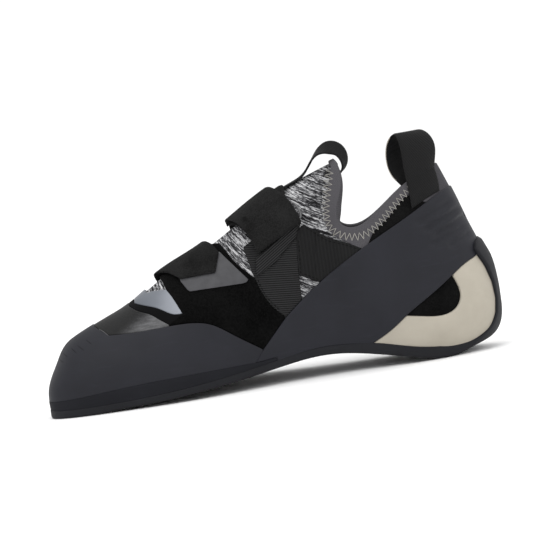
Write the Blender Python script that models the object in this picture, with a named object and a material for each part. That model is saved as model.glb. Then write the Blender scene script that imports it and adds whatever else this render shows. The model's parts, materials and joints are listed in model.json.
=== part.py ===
"""Two-strap climbing shoe for the right foot, standing empty on its sole.

Sizes are millimetres in a working frame: x from the toe tip to the heel, y negative on the
inner side of the foot, z up from the floor. Everything is moved to the origin at the end.
"""
import math
from collections import namedtuple

import bmesh
import bpy
import numpy as np

for old in list(bpy.data.objects):
    bpy.data.objects.remove(old, do_unlink=True)

MM = 0.001
X_MID = 124.85
Y_MID = -1.21
WALL = 2.0
GAP = 0.3
UP = np.array((0.0, 0.0, 1.0))

# Sole seen from the side: underside and upper side along the foot
Sole = namedtuple("Sole", "x under top")
SOLE = [
    Sole(-6, -0.4, 4.8),
    Sole(20, -0.4, 4.8),
    Sole(36, 0.8, 5.2),
    Sole(60, 2.0, 6.4),
    Sole(85, 4.0, 8.5),
    Sole(105, 6.2, 10.8),
    Sole(125, 9.0, 13.6),
    Sole(150, 11.5, 16.7),
    Sole(165, 10.5, 16.3),
    Sole(180, 7.7, 14.6),
    Sole(195, 4.2, 10.8),
    Sole(207, 1.0, 7.4),
    Sole(218, -1.2, 5.4),
    Sole(228, -1.0, 5.6),
    Sole(240, 2.5, 7.6),
]

# One row per section: edge above the sole on both sides, then the fullness of the wall
# (reach and rise of the lower handle; reach, drop and forward pull of the upper one)
Section = namedtuple("Section", "in_x in_y out_x out_y low_out low_up high_out high_drop high_fore")
SECTIONS = [
    Section(2.4, -22.0, 2.4, -22.0, 1.5, 15, 10, 0, 0),
    Section(5.0, -31.0, 6.0, -11.0, 2.0, 15, 11, 0, 0),
    Section(14, -37.0, 17, 4.0, 3.0, 17, 12, 0, 0),
    Section(30, -40.3, 34, 18.5, 3.5, 20, 15, 1, 0),
    Section(50, -42.2, 56, 31.0, 3.5, 22, 18, 1, 0),
    Section(72, -42.4, 80, 39.3, 3.0, 25, 20, 2, 0),
    Section(95, -39.0, 104, 40.0, 3.0, 28, 21, 3, 0),
    Section(117, -32.3, 125, 36.0, 4.0, 32, 20, 5, 1),
    Section(135, -27.2, 142, 32.0, 5.0, 36, 20, 6, 5),
    Section(149, -24.6, 155, 29.4, 6.0, 38, 16, 5, 13),
    Section(160, -23.6, 163, 28.2, 7.0, 36, 6, 11, 14),
    Section(171, -23.6, 174, 27.0, 8.0, 30, 3, 16, 4),
    Section(185, -24.6, 188, 26.3, 9.0, 26, 3, 22, 0),
    Section(204, -24.8, 206, 25.0, 9.5, 18, 5, 30, 0),
    Section(225, -17.5, 226, 17.7, 14, 8, 11, 36, 0),
    Section(236, 0, 236, 0, 20, 1, 16.5, 42, 0),
]

# Top line of the closed front, toe to tongue
Ridge = namedtuple("Ridge", "x y z")
RIDGE = [
    Ridge(18, -19.2, 39.0),
    Ridge(23, -17.9, 41.4),
    Ridge(30, -16.2, 44.4),
    Ridge(40, -14, 48.4),
    Ridge(53, -11, 54.4),
    Ridge(72, -8, 66.0),
    Ridge(94, -5.5, 75.8),
    Ridge(117, -3.5, 89.0),
    Ridge(141, -2, 102.2),
    Ridge(173, -0.5, 113.8),
]

# Collar edge behind the tongue, inner and outer side of each section
Collar = namedtuple("Collar", "in_x in_y in_z out_x out_y out_z")
COLLAR = [
    Collar(174.5, -17, 102, 175, 17, 101),
    Collar(169.5, -26, 83.5, 170.5, 26, 81.5),
    Collar(181, -28.5, 78, 183, 28.5, 76),
    Collar(200, -25, 91, 202, 25.5, 88),
    Collar(219, -14.5, 101, 220, 15, 100.5),
]
HEEL_TOP = (227, 0, 103.5)
THROAT = len(RIDGE) - 1
BACK = len(SECTIONS) - 1
ROUND = 2 * BACK


def spline(knots, rows):
    """Natural cubic curve through the rows."""
    x = np.array(knots, float)
    y = np.array(rows, float)
    h = np.diff(x)
    count = len(x)
    left = np.eye(count)
    right = np.zeros_like(y)
    for i in range(1, count - 1):
        left[i, i - 1:i + 2] = h[i - 1], 2 * (h[i - 1] + h[i]), h[i]
        right[i] = 6 * ((y[i + 1] - y[i]) / h[i] - (y[i] - y[i - 1]) / h[i - 1])
    bend = np.linalg.solve(left, right)

    def at(t):
        i = min(max(int(np.searchsorted(x, t)) - 1, 0), count - 2)
        u = (t - x[i]) / h[i]
        w = 1 - u
        soft = (w ** 3 - w) * bend[i] + (u ** 3 - u) * bend[i + 1]
        return w * y[i] + u * y[i + 1] + h[i] ** 2 / 6 * soft

    return at


def loop(rows):
    """Closed curve through the rows, counted from the first."""
    extra = 4
    padded = rows[-extra:] + rows + rows[:extra]
    return spline(range(-extra, len(rows) + extra), padded)


sole_under = spline([s.x for s in SOLE], [s.under for s in SOLE])
sole_top = spline([s.x for s in SOLE], [s.top for s in SOLE])
ridge = spline(range(len(RIDGE)), RIDGE)
fullness = spline(range(len(SECTIONS)), [s[4:] for s in SECTIONS])
feather = loop([s[0:2] for s in SECTIONS] + [s[2:4] for s in SECTIONS[-2:0:-1]])
collar = loop([tuple(RIDGE[-1])] + [c[0:3] for c in COLLAR] + [HEEL_TOP] + [c[3:6] for c in COLLAR[::-1]])


def under(x):
    """Underside of the sole, with the flat toe and heel spots on the floor."""
    return max(0.0, float(sole_under(x)))


def outward(q):
    """Plan direction out of the shoe at a place round its edge."""
    step = feather(q + 0.01) - feather(q - 0.01)
    return np.array((step[1], -step[0], 0.0)) / np.hypot(step[0], step[1])


def base(q, v):
    """Upper's outer skin: q runs round the edge from the toe, v from the sole to the top line."""
    q = q % ROUND
    r = q if q <= BACK else ROUND - q
    x, y = feather(q)
    foot = np.array((x, y, sole_top(x)))
    out = outward(q)
    low_out, low_up, high_out, high_drop, high_fore = fullness(r)
    step = ridge(min(r, THROAT)) - ridge(min(r, THROAT) - 0.01)
    slope = step[2] / step[0]
    if r <= THROAT:
        top = ridge(r)
    else:
        top = collar(r - THROAT if q <= BACK else ROUND - THROAT - r)
        slope = slope * max(0.0, 1 - (r - THROAT) / 1.5)
    low = foot + out * low_out + UP * low_up
    pull = out[0] * high_out - high_fore
    high = top + (pull, out[1] * high_out, slope * pull - high_drop)
    u = 1 - v
    return u ** 3 * foot + 3 * u * u * v * low + 3 * u * v * v * high + v ** 3 * top


def normal(q, v):
    """Direction out of the skin, taken just below the top line."""
    v = min(v, 0.985)
    a = base(q + 0.02, v) - base(q - 0.02, v)
    b = base(q, min(v + 0.01, 1)) - base(q, max(v - 0.01, 0))
    n = np.cross(a, b)
    return n / np.linalg.norm(n)


def skin(q, v, lift):
    """Point above the skin; the two sides share one direction along the ridge."""
    r = min(q % ROUND, ROUND - q % ROUND)
    n = normal(q, v)
    if v > 0.999 and r < THROAT + 0.001:
        n = n + normal(ROUND - q, v)
        n = n / np.linalg.norm(n)
    return base(q, v) + n * lift


SIDE_STOPS = np.concatenate((np.linspace(0, 3, 7)[:-1], np.linspace(3, THROAT, 10)[:-1],
                             np.linspace(THROAT, BACK, 13)))
STOPS = np.concatenate((SIDE_STOPS, ROUND - SIDE_STOPS[-2:0:-1]))
RISES = np.linspace(0, 1, 12)
HALF = len(SIDE_STOPS)
SKIN = np.array([[skin(q, v, 0) for v in RISES] for q in STOPS])
LIFT = np.array([[skin(q, v, 1) for v in RISES] for q in STOPS]) - SKIN
# The wall thins a little at the tight bend on top of the toe
TOE_THIN = np.array([[[1 - 0.45 * max(0, 1 - min(q, ROUND - q) / 2) * max(0, (v - 0.6) / 0.4)] for v in RISES]
                     for q in STOPS])


def colour(name, rgb, rough):
    material = bpy.data.materials.new(name)
    material.use_nodes = True
    shader = material.node_tree.nodes["Principled BSDF"]
    shader.inputs["Base Color"].default_value = (*rgb, 1)
    shader.inputs["Roughness"].default_value = rough
    material.diffuse_color = (*rgb, 1)
    return material


def solid(name, points, faces, rgb=(0.03, 0.03, 0.03), rough=0.7):
    """Closed mesh from working-frame points."""
    move = np.array((X_MID, Y_MID, 0))
    mesh = bpy.data.meshes.new(name)
    mesh.from_pydata([tuple((np.array(p) - move) * MM) for p in points], [], faces)
    work = bmesh.new()
    work.from_mesh(mesh)
    bmesh.ops.recalc_face_normals(work, faces=work.faces)
    work.to_mesh(mesh)
    work.free()
    thing = bpy.data.objects.new(name, mesh)
    bpy.context.scene.collection.objects.link(thing)
    mesh.materials.append(colour(name, rgb, rough))
    return thing


def shell(name, inner, outer, rgb=(0.03, 0.03, 0.03), rough=0.7):
    """Hollow wall between two heights above the skin, open at the collar and underneath."""
    around = len(STOPS)
    high = len(RISES)
    points = []
    for lift in (outer, inner):
        size = LIFT * lift
        if lift < 0:
            size = size * TOE_THIN
        points += [tuple(p) for p in (SKIN + size).reshape(-1, 3)]

    def number(layer, i, j):
        i = i % around
        if j == high - 1 and i >= HALF and STOPS[around - i] <= THROAT:
            i = around - i
        return layer * around * high + i * high + j

    faces = []
    for i in range(around):
        for j in range(high - 1):
            for layer, turn in ((0, 1), (1, -1)):
                a = number(layer, i, j)
                b = number(layer, i + 1, j)
                c = number(layer, i + 1, j + 1)
                d = number(layer, i, j + 1)
                faces += [(a, b, c)[::turn], (a, c, d)[::turn]]
        faces.append((number(0, i + 1, 0), number(0, i, 0), number(1, i, 0), number(1, i + 1, 0)))
        q = STOPS[i]
        if THROAT <= q < ROUND - THROAT:
            faces.append((number(0, i, high - 1), number(0, i + 1, high - 1),
                          number(1, i + 1, high - 1), number(1, i, high - 1)))
    used = sorted({k for face in faces for k in face})
    place = {k: n for n, k in enumerate(used)}
    return solid(name, [points[k] for k in used], [tuple(place[k] for k in f) for f in faces], rgb, rough)


def inset(outline, gap):
    """Outline drawn in by a small gap."""
    points = np.array(outline, float)
    ahead = np.roll(points, -1, axis=0) - points
    turn = np.sum(points[:, 0] * np.roll(points[:, 1], -1) - np.roll(points[:, 0], -1) * points[:, 1])
    side = np.stack((-ahead[:, 1], ahead[:, 0]), axis=1) * math.copysign(1, turn)
    side = side / np.linalg.norm(side, axis=1)[:, None]
    both = side + np.roll(side, 1, axis=0)
    size = np.maximum(np.sum(both * both, axis=1), 0.4)[:, None]
    return points + 2 * gap * both / size


BOTH = (-80.0, 80.0)
NEAR = (-80.0, -9.0)


def cut(name, inner, outer, outline, rgb, rough=0.7, reach=BOTH):
    """Overlay: the part of a wall over the skin that lies inside an outline seen from the side."""
    piece = shell(name, inner, outer, rgb, rough)
    edge = inset(outline, GAP / 2)
    count = len(edge)
    points = [(x, y, z) for y in reach for x, z in edge]
    faces = [tuple(range(count)), tuple(range(count, 2 * count))]
    faces += [(i, (i + 1) % count, count + (i + 1) % count, count + i) for i in range(count)]
    knife = solid(name + "_outline", points, faces)
    knife.hide_render = True
    knife.display_type = "WIRE"
    trim = piece.modifiers.new("outline", "BOOLEAN")
    trim.operation = "INTERSECT"
    trim.solver = "EXACT"
    trim.use_self = True
    trim.object = knife
    return piece


def plate(name, one, two, rgb, rough=0.7):
    """Closed solid between two matching grids of points."""
    one = np.array(one)
    two = np.array(two)
    rows, columns = one.shape[:2]
    points = [tuple(p) for p in one.reshape(-1, 3)] + [tuple(p) for p in two.reshape(-1, 3)]
    shift = rows * columns
    faces = []
    for i in range(rows - 1):
        for j in range(columns - 1):
            a = i * columns + j
            ring = (a, a + 1, a + columns + 1, a + columns)
            for part in (ring[:3], (ring[0], ring[2], ring[3])):
                faces += [part, tuple(k + shift for k in part[::-1])]
    rim = [j for j in range(columns)]
    rim += [i * columns + columns - 1 for i in range(1, rows)]
    rim += [(rows - 1) * columns + j for j in range(columns - 2, -1, -1)]
    rim += [i * columns for i in range(rows - 2, 0, -1)]
    for k, a in enumerate(rim):
        b = rim[(k + 1) % len(rim)]
        faces.append((a, b, b + shift, a + shift))
    return solid(name, points, faces, rgb, rough)


def ribbon(name, grid, thick, rgb, rough=0.7):
    """Band of even thickness about a grid of middle points."""
    grid = np.array(grid)
    along = np.gradient(grid, axis=0)
    across = np.gradient(grid, axis=1)
    n = np.cross(along, across)
    n = n / np.linalg.norm(n, axis=2)[:, :, None]
    return plate(name, grid - n * thick / 2, grid + n * thick / 2, rgb, rough)


# Search table for places on the skin seen from the side
SEEK_R = np.linspace(0, BACK, 121)
SEEK_V = np.linspace(0, 1, 31)
SEEK = {side: np.array([[base(side * r, v) for v in SEEK_V] for r in SEEK_R]) for side in (1, -1)}


def locate(x, z, side=1):
    """Section and height of the skin point seen at (x, z); side 1 is the inner side."""
    miss = (SEEK[side][:, :, 0] - x) ** 2 + (SEEK[side][:, :, 2] - z) ** 2
    i, j = np.unravel_index(np.argmin(miss), miss.shape)
    spot = np.array((SEEK_R[i], SEEK_V[j]))
    goal = np.array((x, z))
    for _ in range(8):
        here = base(side * spot[0], spot[1])[[0, 2]]
        dr = (base(side * (spot[0] + 0.01), spot[1])[[0, 2]] - here) / 0.01
        dv = (base(side * spot[0], spot[1] - 0.01)[[0, 2]] - here) / -0.01
        slip = np.linalg.lstsq(np.stack((dr, dv), axis=1), goal - here, rcond=None)[0]
        spot = spot + np.clip(slip, (-0.4, -0.08), (0.4, 0.08))
        spot = np.clip(spot, (0, 0.02), (BACK, 1))
    return spot


def over(x, z, side=1):
    """Place as (section, way down from the ridge), negative on the inner side."""
    r, v = locate(x, z, side)
    return np.array((r, -side * (1 - v)))


def above(spot, lift):
    """Point above the skin for a place counted from the ridge."""
    r, w = spot
    return skin(r if w <= 0 else ROUND - r, 1 - abs(w), lift)


def along_line(rows, count):
    """Evenly spread points on a line of rows."""
    rows = np.array(rows, float)
    way = np.concatenate(((0,), np.cumsum(np.linalg.norm(np.diff(rows, axis=0), axis=1))))
    return [np.array([np.interp(t, way, rows[:, k]) for k in range(rows.shape[1])])
            for t in np.linspace(0, way[-1], count)]


# Lines seen from the side; neighbours share them
Line = namedtuple("Line", "x z")
BAND_TOP = [Line(-9, 9.2), Line(15, 10), Line(40, 12.2), Line(70, 13.7), Line(100, 14.2), Line(114.5, 14.2)]
RAND_TOP = [Line(26, 51), Line(30.5, 45.7), Line(38, 40.6), Line(55, 40.4), Line(76.5, 41.2),
            Line(86, 40.6), Line(93, 38.8), Line(103, 32.4), Line(112, 25.8), Line(119.5, 20.5)]
SLING_FRONT = [Line(114.5, 14.2), Line(119.5, 20.5), Line(134, 35.5)]
SLING_TOP = [Line(134, 35.5), Line(144, 43.5), Line(155, 51.5), Line(180, 66.5), Line(210, 81.0),
             Line(222, 87), Line(229, 89.8), Line(242, 92)]
SLING_FOOT = [Line(180.5, 15.4), Line(190, 20.5), Line(198, 26.5), Line(210, 34), Line(226.5, 44.3),
              Line(234.5, 50.1), Line(240, 52.8)]
STRIP_EDGE = [Line(227, 2), Line(230.5, 6), Line(238, 9), Line(241.6, 12), Line(244.6, 19), Line(245.5, 27),
              Line(244.8, 36), Line(242.6, 45), Line(240.3, 52), Line(239.7, 57), Line(241, 61), Line(243.5, 63.2),
              Line(256, 64)]
WINDOW = [Line(198, 26.5), Line(206, 25), Line(218, 23.6), Line(224, 25), Line(228, 28.5), Line(229.6, 33),
          Line(229, 38), Line(226.5, 44.3)]
STRIP_LOW = [Line(49.5, 62), Line(50.5, 53.6), Line(57, 50.2), Line(61, 48.8), Line(66, 45.5), Line(72.5, 41.05)]
STRIP_HIGH = [Line(53, 62), Line(53.6, 54.8), Line(60, 53), Line(65, 51.5), Line(70, 49), Line(74, 47),
              Line(79.3, 46.6)]
FLEECE_FRONT = [Line(79.3, 46.6), Line(77, 51.5), Line(74.5, 56.3), Line(72, 60)]
WEB_FRONT = [Line(134, 35.5), Line(128, 42), Line(123, 51), Line(120.5, 59)]
BIND_LINE = [Line(165, 119), Line(166.5, 111), Line(161.5, 97), Line(158.8, 86), Line(160.5, 78.5), Line(165.5, 74),
             Line(173, 71.6), Line(181, 71.0), Line(187, 73.4), Line(196, 80), Line(207, 89.5), Line(212, 91.4),
             Line(220, 89.6), Line(229, 91.2), Line(242, 93.4)]

RUBBER = (0.045, 0.047, 0.055)
DARK = (0.022, 0.022, 0.025)
BLACK = (0.012, 0.012, 0.013)
KNIT = (0.22, 0.22, 0.23)
GREY = (0.16, 0.16, 0.18)
TAN = (0.48, 0.42, 0.35)
SILVER = (0.30, 0.31, 0.34)

# Upper, insole and outsole
shell("upper", -WALL, 0, KNIT, 0.9)

EDGE_COUNT = 7
SPREAD = np.linspace(-1, 1, EDGE_COUNT)


def rim(q, margin):
    """Plan point on the edge above the sole, moved out by a margin."""
    return feather(q % ROUND) + outward(q % ROUND)[:2] * margin


def bed_rows(margin, heel_end, closed):
    """Plan rows across the foot bed: toe arc first, straight rows, heel arc last if closed."""

    def row(r, bow, middle):
        chord = np.linspace(rim(r, margin(r)), rim(-r, margin(r)), EDGE_COUNT)
        arc = np.array([rim(middle + (r - middle) * -c, margin(r)) for c in SPREAD])
        return chord + (arc - chord) * bow

    rows = [row(r, bow, 0) for r, bow in ((0.6, 1.0), (0.85, 0.7), (1.15, 0.35))]
    straight = np.concatenate((np.linspace(1.5, 9, 10), np.linspace(9.8, 12, 4), np.linspace(12.35, heel_end, 6)))
    rows += [row(r, 0, 0) for r in straight]
    if closed:
        rows += [row(r, bow, BACK) for r, bow in ((14.3, 0.3), (14.5, 0.65), (14.65, 1.0))]
    return rows


def strip_edge(v, lift):
    """Section where the heel strip ends, at one height up the heel and above the skin."""
    line = np.array(STRIP_EDGE)
    low, high = 13.6, float(BACK)
    for _ in range(24):
        mid = (low + high) / 2
        p = skin(mid, v, lift)
        if p[0] < np.interp(p[2], line[:, 1], line[:, 0]) + 2 * GAP:
            low = mid
        else:
            high = mid
    return high


INSOLE_IN = -3.2
bed = bed_rows(lambda r: INSOLE_IN, 14.0, True)
plate("insole",
      [[(x, y, sole_top(x) + 0.2) for x, y in row[::2]] for row in bed],
      [[(x, y, sole_top(x) + 2.2) for x, y in row[::2]] for row in bed], GREY, 0.9)

# The outsole's rows: flat bed first, then the strip up the back of the heel
SOLE_OUT = 2.4
CORNER = 1.4
STRIP_THICK = 3.3
STRIP_LIFT = 2 * GAP
# The sole's upper edge drops under the rubber that leans out over it
EDGE_DIP = spline((-6, 20, 100, 150, 180, 200, 216, 230), (0.5, 0.5, 0.4, 0.5, 0.8, 1.1, 2.0, 3.3))
heel_start = strip_edge(0.0, STRIP_LIFT)
flat = bed_rows(lambda r: SOLE_OUT + (GAP - SOLE_OUT) * min(max((r - 12.8) / (heel_start - 12.8), 0), 1),
                heel_start - 0.35, False)
top_rows = []
low_rows = []
for i, row in enumerate(flat):
    middle = (row[0] + row[-1]) / 2
    top_rows.append([(x, y, sole_top(x) - GAP - (EDGE_DIP(x) if i == 0 or j in (0, EDGE_COUNT - 1) else 0))
                     for j, (x, y) in enumerate(row)])
    low = []
    for j, (x, y) in enumerate(row):
        edge = i == 0 or j in (0, EDGE_COUNT - 1)
        if i > 0 and j in (1, EDGE_COUNT - 2):
            near = row[0] if j == 1 else row[-1]
            x, y = near + (middle - near) / np.linalg.norm(middle - near) * min(1.2, 0.2 * i)
        low.append((x, y, under(x) + (CORNER if edge else 0)))
    low_rows.append(low)
# Heights of the strip, and its inner and outer face; the tip steps over the sling
Rise = namedtuple("Rise", "v inner outer")
STRIP_RISES = [Rise(0, STRIP_LIFT, STRIP_LIFT + STRIP_THICK), Rise(0.38, STRIP_LIFT, 3.6),
               Rise(0.47, STRIP_LIFT, 4.1), Rise(0.55, STRIP_LIFT, 4.6), Rise(0.585, 3.0, 4.8), Rise(0.69, 3.0, 4.1)]
STRIP_V = np.concatenate((np.linspace(0, 0.55, 14), np.linspace(0.585, 0.69, 5)))
bed_top = top_rows[-1]
bed_low = low_rows[-1]
for i, v in enumerate(STRIP_V):
    near_in, far_out = [np.interp(v, [s.v for s in STRIP_RISES], [s[k] for s in STRIP_RISES]) for k in (1, 2)]
    half_in = max(BACK - strip_edge(v, near_in), 0.08)
    half_out = min(max(BACK - strip_edge(v, far_out), 0.08), half_in + 1.6 * max(v - 0.06, 0))
    inside = [skin(BACK + c * half_in, v, near_in) for c in SPREAD]
    outside = [skin(BACK + c * half_out, v, far_out) for c in SPREAD]
    if i == 0:
        for t in (0.35, 0.7):
            blend = np.array(bed_top) + (inside - np.array(bed_top)) * t
            blend[[0, -1], 2] -= 3.0 * (1 - t)
            top_rows.append(blend)
            low_rows.append(np.array(bed_low) + (outside - np.array(bed_low)) * t)
    top_rows.append(inside)
    low_rows.append(outside)
plate("outsole", top_rows, low_rows, DARK, 0.75)

# Rubber overlays
RUBBER_OUT = 2.1
FAR_TOE = Line(-9, 51)
cut("sole_band", GAP, RUBBER_OUT + 0.3,
    BAND_TOP + [Line(126, 15.0), Line(126, -4), Line(-9, -4)], DARK, 0.8)
cut("toe_rand", GAP, RUBBER_OUT, BAND_TOP + SLING_FRONT[1:2] + RAND_TOP[-2::-1] + [FAR_TOE], RUBBER, 0.6)
cut("heel_sling", GAP, RUBBER_OUT + 0.3,
    SLING_FRONT + SLING_TOP[1:] + [Line(256, 93), Line(256, 58)] + SLING_FOOT[::-1]
    + [Line(179, 6), Line(126, 6), Line(126, 15.0)], RUBBER, 0.6)
insert = (SLING_FOOT[:2] + WINDOW + SLING_FOOT[-2:] + STRIP_EDGE[8::-1]
          + [Line(228, -4), Line(182.5, -4), Line(181.5, 12)])
cut("heel_insert_inner", GAP, RUBBER_OUT, insert, TAN, 0.55, (-80.0, 0.0))
cut("heel_insert_outer", GAP, RUBBER_OUT, insert, TAN, 0.55, (0.0, 80.0))

# Thin overlays of the front
THIN = 1.1
cut("toe_patch", GAP, THIN,
    RAND_TOP[:4] + STRIP_LOW[::-1] + [Line(49.5, 66), Line(26, 66)], DARK, 0.5)
cut("vamp_strip", GAP, THIN,
    STRIP_LOW + [RAND_TOP[4]] + STRIP_HIGH[::-1], DARK, 0.45)
cut("vamp_panel", GAP, THIN,
    STRIP_HIGH + FLEECE_FRONT[1:] + [Line(65, 60), Line(60.5, 59.2), Line(58, 66)], SILVER, 0.35)
cut("loop_patch", GAP, THIN + 0.2,
    RAND_TOP[4:] + SLING_FRONT[2:] + WEB_FRONT[1:] + [Line(112, 68), Line(104, 80), Line(80, 80), Line(66, 70),
                                                     Line(70, 64.5)] + FLEECE_FRONT[::-1], BLACK, 0.95,
    reach=NEAR)

# Webbing and panel of the near side
cut("side_webbing", GAP, THIN,
    SLING_TOP[:2] + [Line(144.3, 57), Line(154.8, 51.3)] + SLING_TOP[3:4]
    + [Line(178.8, 67.4), Line(171, 71), Line(164, 73.6), Line(157.5, 78.2), Line(151, 83.5), Line(146, 92),
       Line(116.5, 76)] + WEB_FRONT[:0:-1], BLACK, 0.8, reach=NEAR)
cut("ring_webbing", THIN + GAP, THIN + 1.5,
    [Line(122.5, 67.6), Line(149.5, 84.6), Line(146, 77.5), Line(133, 66), Line(121.5, 59.5)], BLACK, 0.8,
    reach=NEAR)
cut("collar_panel", GAP, THIN,
    [Line(183, 68.2), Line(210.5, 81.5)] + BIND_LINE[11:6:-1],
    BLACK, 0.9, reach=NEAR)

# Folded edge of the collar
BIND_OUT = 1.5
cut("collar_binding", GAP, BIND_OUT, BIND_LINE + [Line(250, 130), Line(160, 130)], GREY, 0.9)

# Front strap and its grey tip
STRAP = 1.4
far_front = over(74, 44, -1)
far_rear = over(103, 46, -1)
ridge_front = np.array((locate(67.5, 66)[0], 0.0))
ridge_rear = np.array((locate(97.2, 77.6)[0], 0.0))
END_ROW = 8
end_row = [over(x, z) for x, z in along_line([(76, 66.3), (81, 62), (100.2, 63.3), (104, 73)], END_ROW)]
top_row = [ridge_front + (ridge_rear - ridge_front) * t for t in np.linspace(0, 1, END_ROW)]
far_row = [far_front + (far_rear - far_front) * t for t in np.linspace(0, 1, END_ROW)]
HIGH_STRAP = 4.0
LOW_STRAP = THIN + GAP + STRAP / 2
grid = [[above(f + (m - f) * t, LOW_STRAP + (HIGH_STRAP - LOW_STRAP) * t ** 2) for f, m in zip(far_row, top_row)]
        for t in np.linspace(0, 1, 8)[:-1]]
grid += [[above(m + (e - m) * t, HIGH_STRAP) for m, e in zip(top_row, end_row)] for t in np.linspace(0, 1, 5)]
ribbon("front_strap", grid, STRAP, BLACK, 0.95)

tip_hidden = [over(x, z) for x, z in along_line([(80, 65), (88, 68), (98, 71), (101, 74.5)], END_ROW)]
tip_end = [over(x, z) for x, z in along_line([(81, 61.5), (84.5, 56), (115, 56.6), (116.8, 58.2), (104.5, 73.4)],
                                             END_ROW)]
grid = [[above(a + (b - a) * t, 2.35) for a, b in zip(tip_hidden, tip_end)] for t in np.linspace(0, 1, 4)]
ribbon("front_strap_tip", grid, 0.9, SILVER, 0.5)

# Rear strap: up from the outer side, over the ridge, round the ring and back
REAR_COUNT = 6
REAR_LOW = 2.2
REAR_HIGH = 6.1
far_a, far_b = over(113, 52, -1), over(143, 64, -1)
top_a = np.array((locate(111.6, 85.8)[0], 0.0))
top_b = np.array((locate(135.6, 106)[0], 0.0))
near_a, near_b = over(124.1, 72.0), over(147.8, 91.6)
reach = np.linalg.norm(above((near_a + near_b) / 2, 0) - above((top_a + top_b) / 2, 0))


def rear(s, j, lift):
    """Place on the rear strap: s from -1 at the ring to 1 at the outer side, j across it."""
    top = top_a + (top_b - top_a) * j
    side_a, side_b = (near_a, near_b) if s < 0 else (far_a, far_b)
    return above(top + (side_a + (side_b - side_a) * j - top) * abs(s), lift)


BEND = (REAR_HIGH - REAR_LOW) / 2
path = [(s, REAR_LOW - (REAR_LOW - GAP - 0.6) * max(s, 0)) for s in np.linspace(1, 0, 9)]
path += [(s, REAR_LOW) for s in np.linspace(-0.2, -1, 5)]
path += [(-1 - BEND * math.sin(a) / reach, (REAR_LOW + REAR_HIGH) / 2 - BEND * math.cos(a))
         for a in np.linspace(0, math.pi, 6)[1:-1]]
path += [(s, REAR_HIGH) for s in np.linspace(-1, 0.22, 7)]
ribbon("rear_strap", [[rear(s, j, lift) for j in np.linspace(0, 1, REAR_COUNT)] for s, lift in path],
       1.2, BLACK, 0.95)

# Ring in the fold of the rear strap: a wire bent to a long rounded frame
WIRE = 0.95
RING_HIGH = 8.5
wide = np.linalg.norm(rear(-1, 1, 0) - rear(-1, 0, 0))
tall = RING_HIGH / reach
past_front = -1.0 / wide
past_rear = 1.7 / wide
track = []
for j in np.linspace(0.05, 0.95, 5):
    track.append((-1, j))
for turn in np.linspace(-90, 90, 5):
    angle = math.radians(turn)
    track.append((-1 + tall / 2 + math.sin(angle) * tall / 2, 1 + (0.3 + 0.7 * math.cos(angle)) * past_rear))
for j in np.linspace(0.95, 0.05, 5):
    track.append((-1 + tall, j))
for turn in np.linspace(90, -90, 5):
    angle = math.radians(turn)
    track.append((-1 + tall / 2 + math.sin(angle) * tall / 2, -(0.3 + 0.7 * math.cos(angle)) * past_front))
middle = np.array([rear(s, j, (REAR_LOW + REAR_HIGH) / 2) for s, j in track])
lifted = np.array([rear(s, j, (REAR_LOW + REAR_HIGH) / 2 + 1) for s, j in track]) - middle
ahead = np.roll(middle, -1, axis=0) - np.roll(middle, 1, axis=0)
beside = np.cross(ahead, lifted)
beside = beside / np.linalg.norm(beside, axis=1)[:, None]
AROUND = 5
points = []
for m, n, b in zip(middle, lifted, beside):
    for k in range(AROUND):
        angle = 2 * math.pi * (k + 0.5) / AROUND
        points.append(m + (n * math.cos(angle) + b * math.sin(angle)) * WIRE)
count = len(track)
faces = []
for i in range(count):
    for k in range(AROUND):
        j = (i + 1) % count
        m = (k + 1) % AROUND
        faces.append((i * AROUND + k, i * AROUND + m, j * AROUND + m, j * AROUND + k))
solid("strap_ring", points, faces, SILVER, 0.3)

# Heel pull loop: up the outside of the collar, over and down inside it
Fold = namedtuple("Fold", "out rise fore spread")
HEEL_FOLDS = [Fold(2.5, -14, 0, -2.4), Fold(2.5, -7, 0, -1), Fold(2.5, 0, 0, 0), Fold(3.3, 8, 0, 2),
              Fold(3.2, 15, 0, 2), Fold(0.3, 20.8, -0.5, 1), Fold(-4.5, 22, -1, 0), Fold(-8.4, 18.6, -2.4, 0),
              Fold(-9.4, 11.5, -3, 0), Fold(-6.8, 4, -1.5, 0), Fold(-3.6, -2, 0, 0), Fold(-3.2, -9, 0, 0)]
WEBBING = 1.2
HEEL_TALL = 123.5
HEEL_RISE = 22
HEEL_FRONT, HEEL_WIDE = 13.42, 0.98
fold = spline(range(len(HEEL_FOLDS)), HEEL_FOLDS)
grid = []
for t in np.linspace(0, len(HEEL_FOLDS) - 1, 17):
    out, rise, fore, spread = fold(t)
    row = []
    for j in np.linspace(0, 1, 4):
        q = HEEL_FRONT + HEEL_WIDE * j
        edge = base(q, 1)
        size = np.linalg.norm(edge - base(q, 0.85)) / 0.15
        if rise <= 0:
            narrow = spread * j * HEEL_WIDE / 20
            row.append(skin(q + narrow, 1 + rise / size, out))
        else:
            push = normal(q, 1) * (1, 1, 0)
            push = push / np.linalg.norm(push)
            lean = np.array((fore + spread * (j - 0.5), 0.0, 0.0))
            row.append(edge + push * out + lean + UP * rise * (HEEL_TALL - edge[2]) / HEEL_RISE)
    grid.append(row)
ribbon("heel_loop", grid, WEBBING, BLACK, 0.8)

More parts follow.
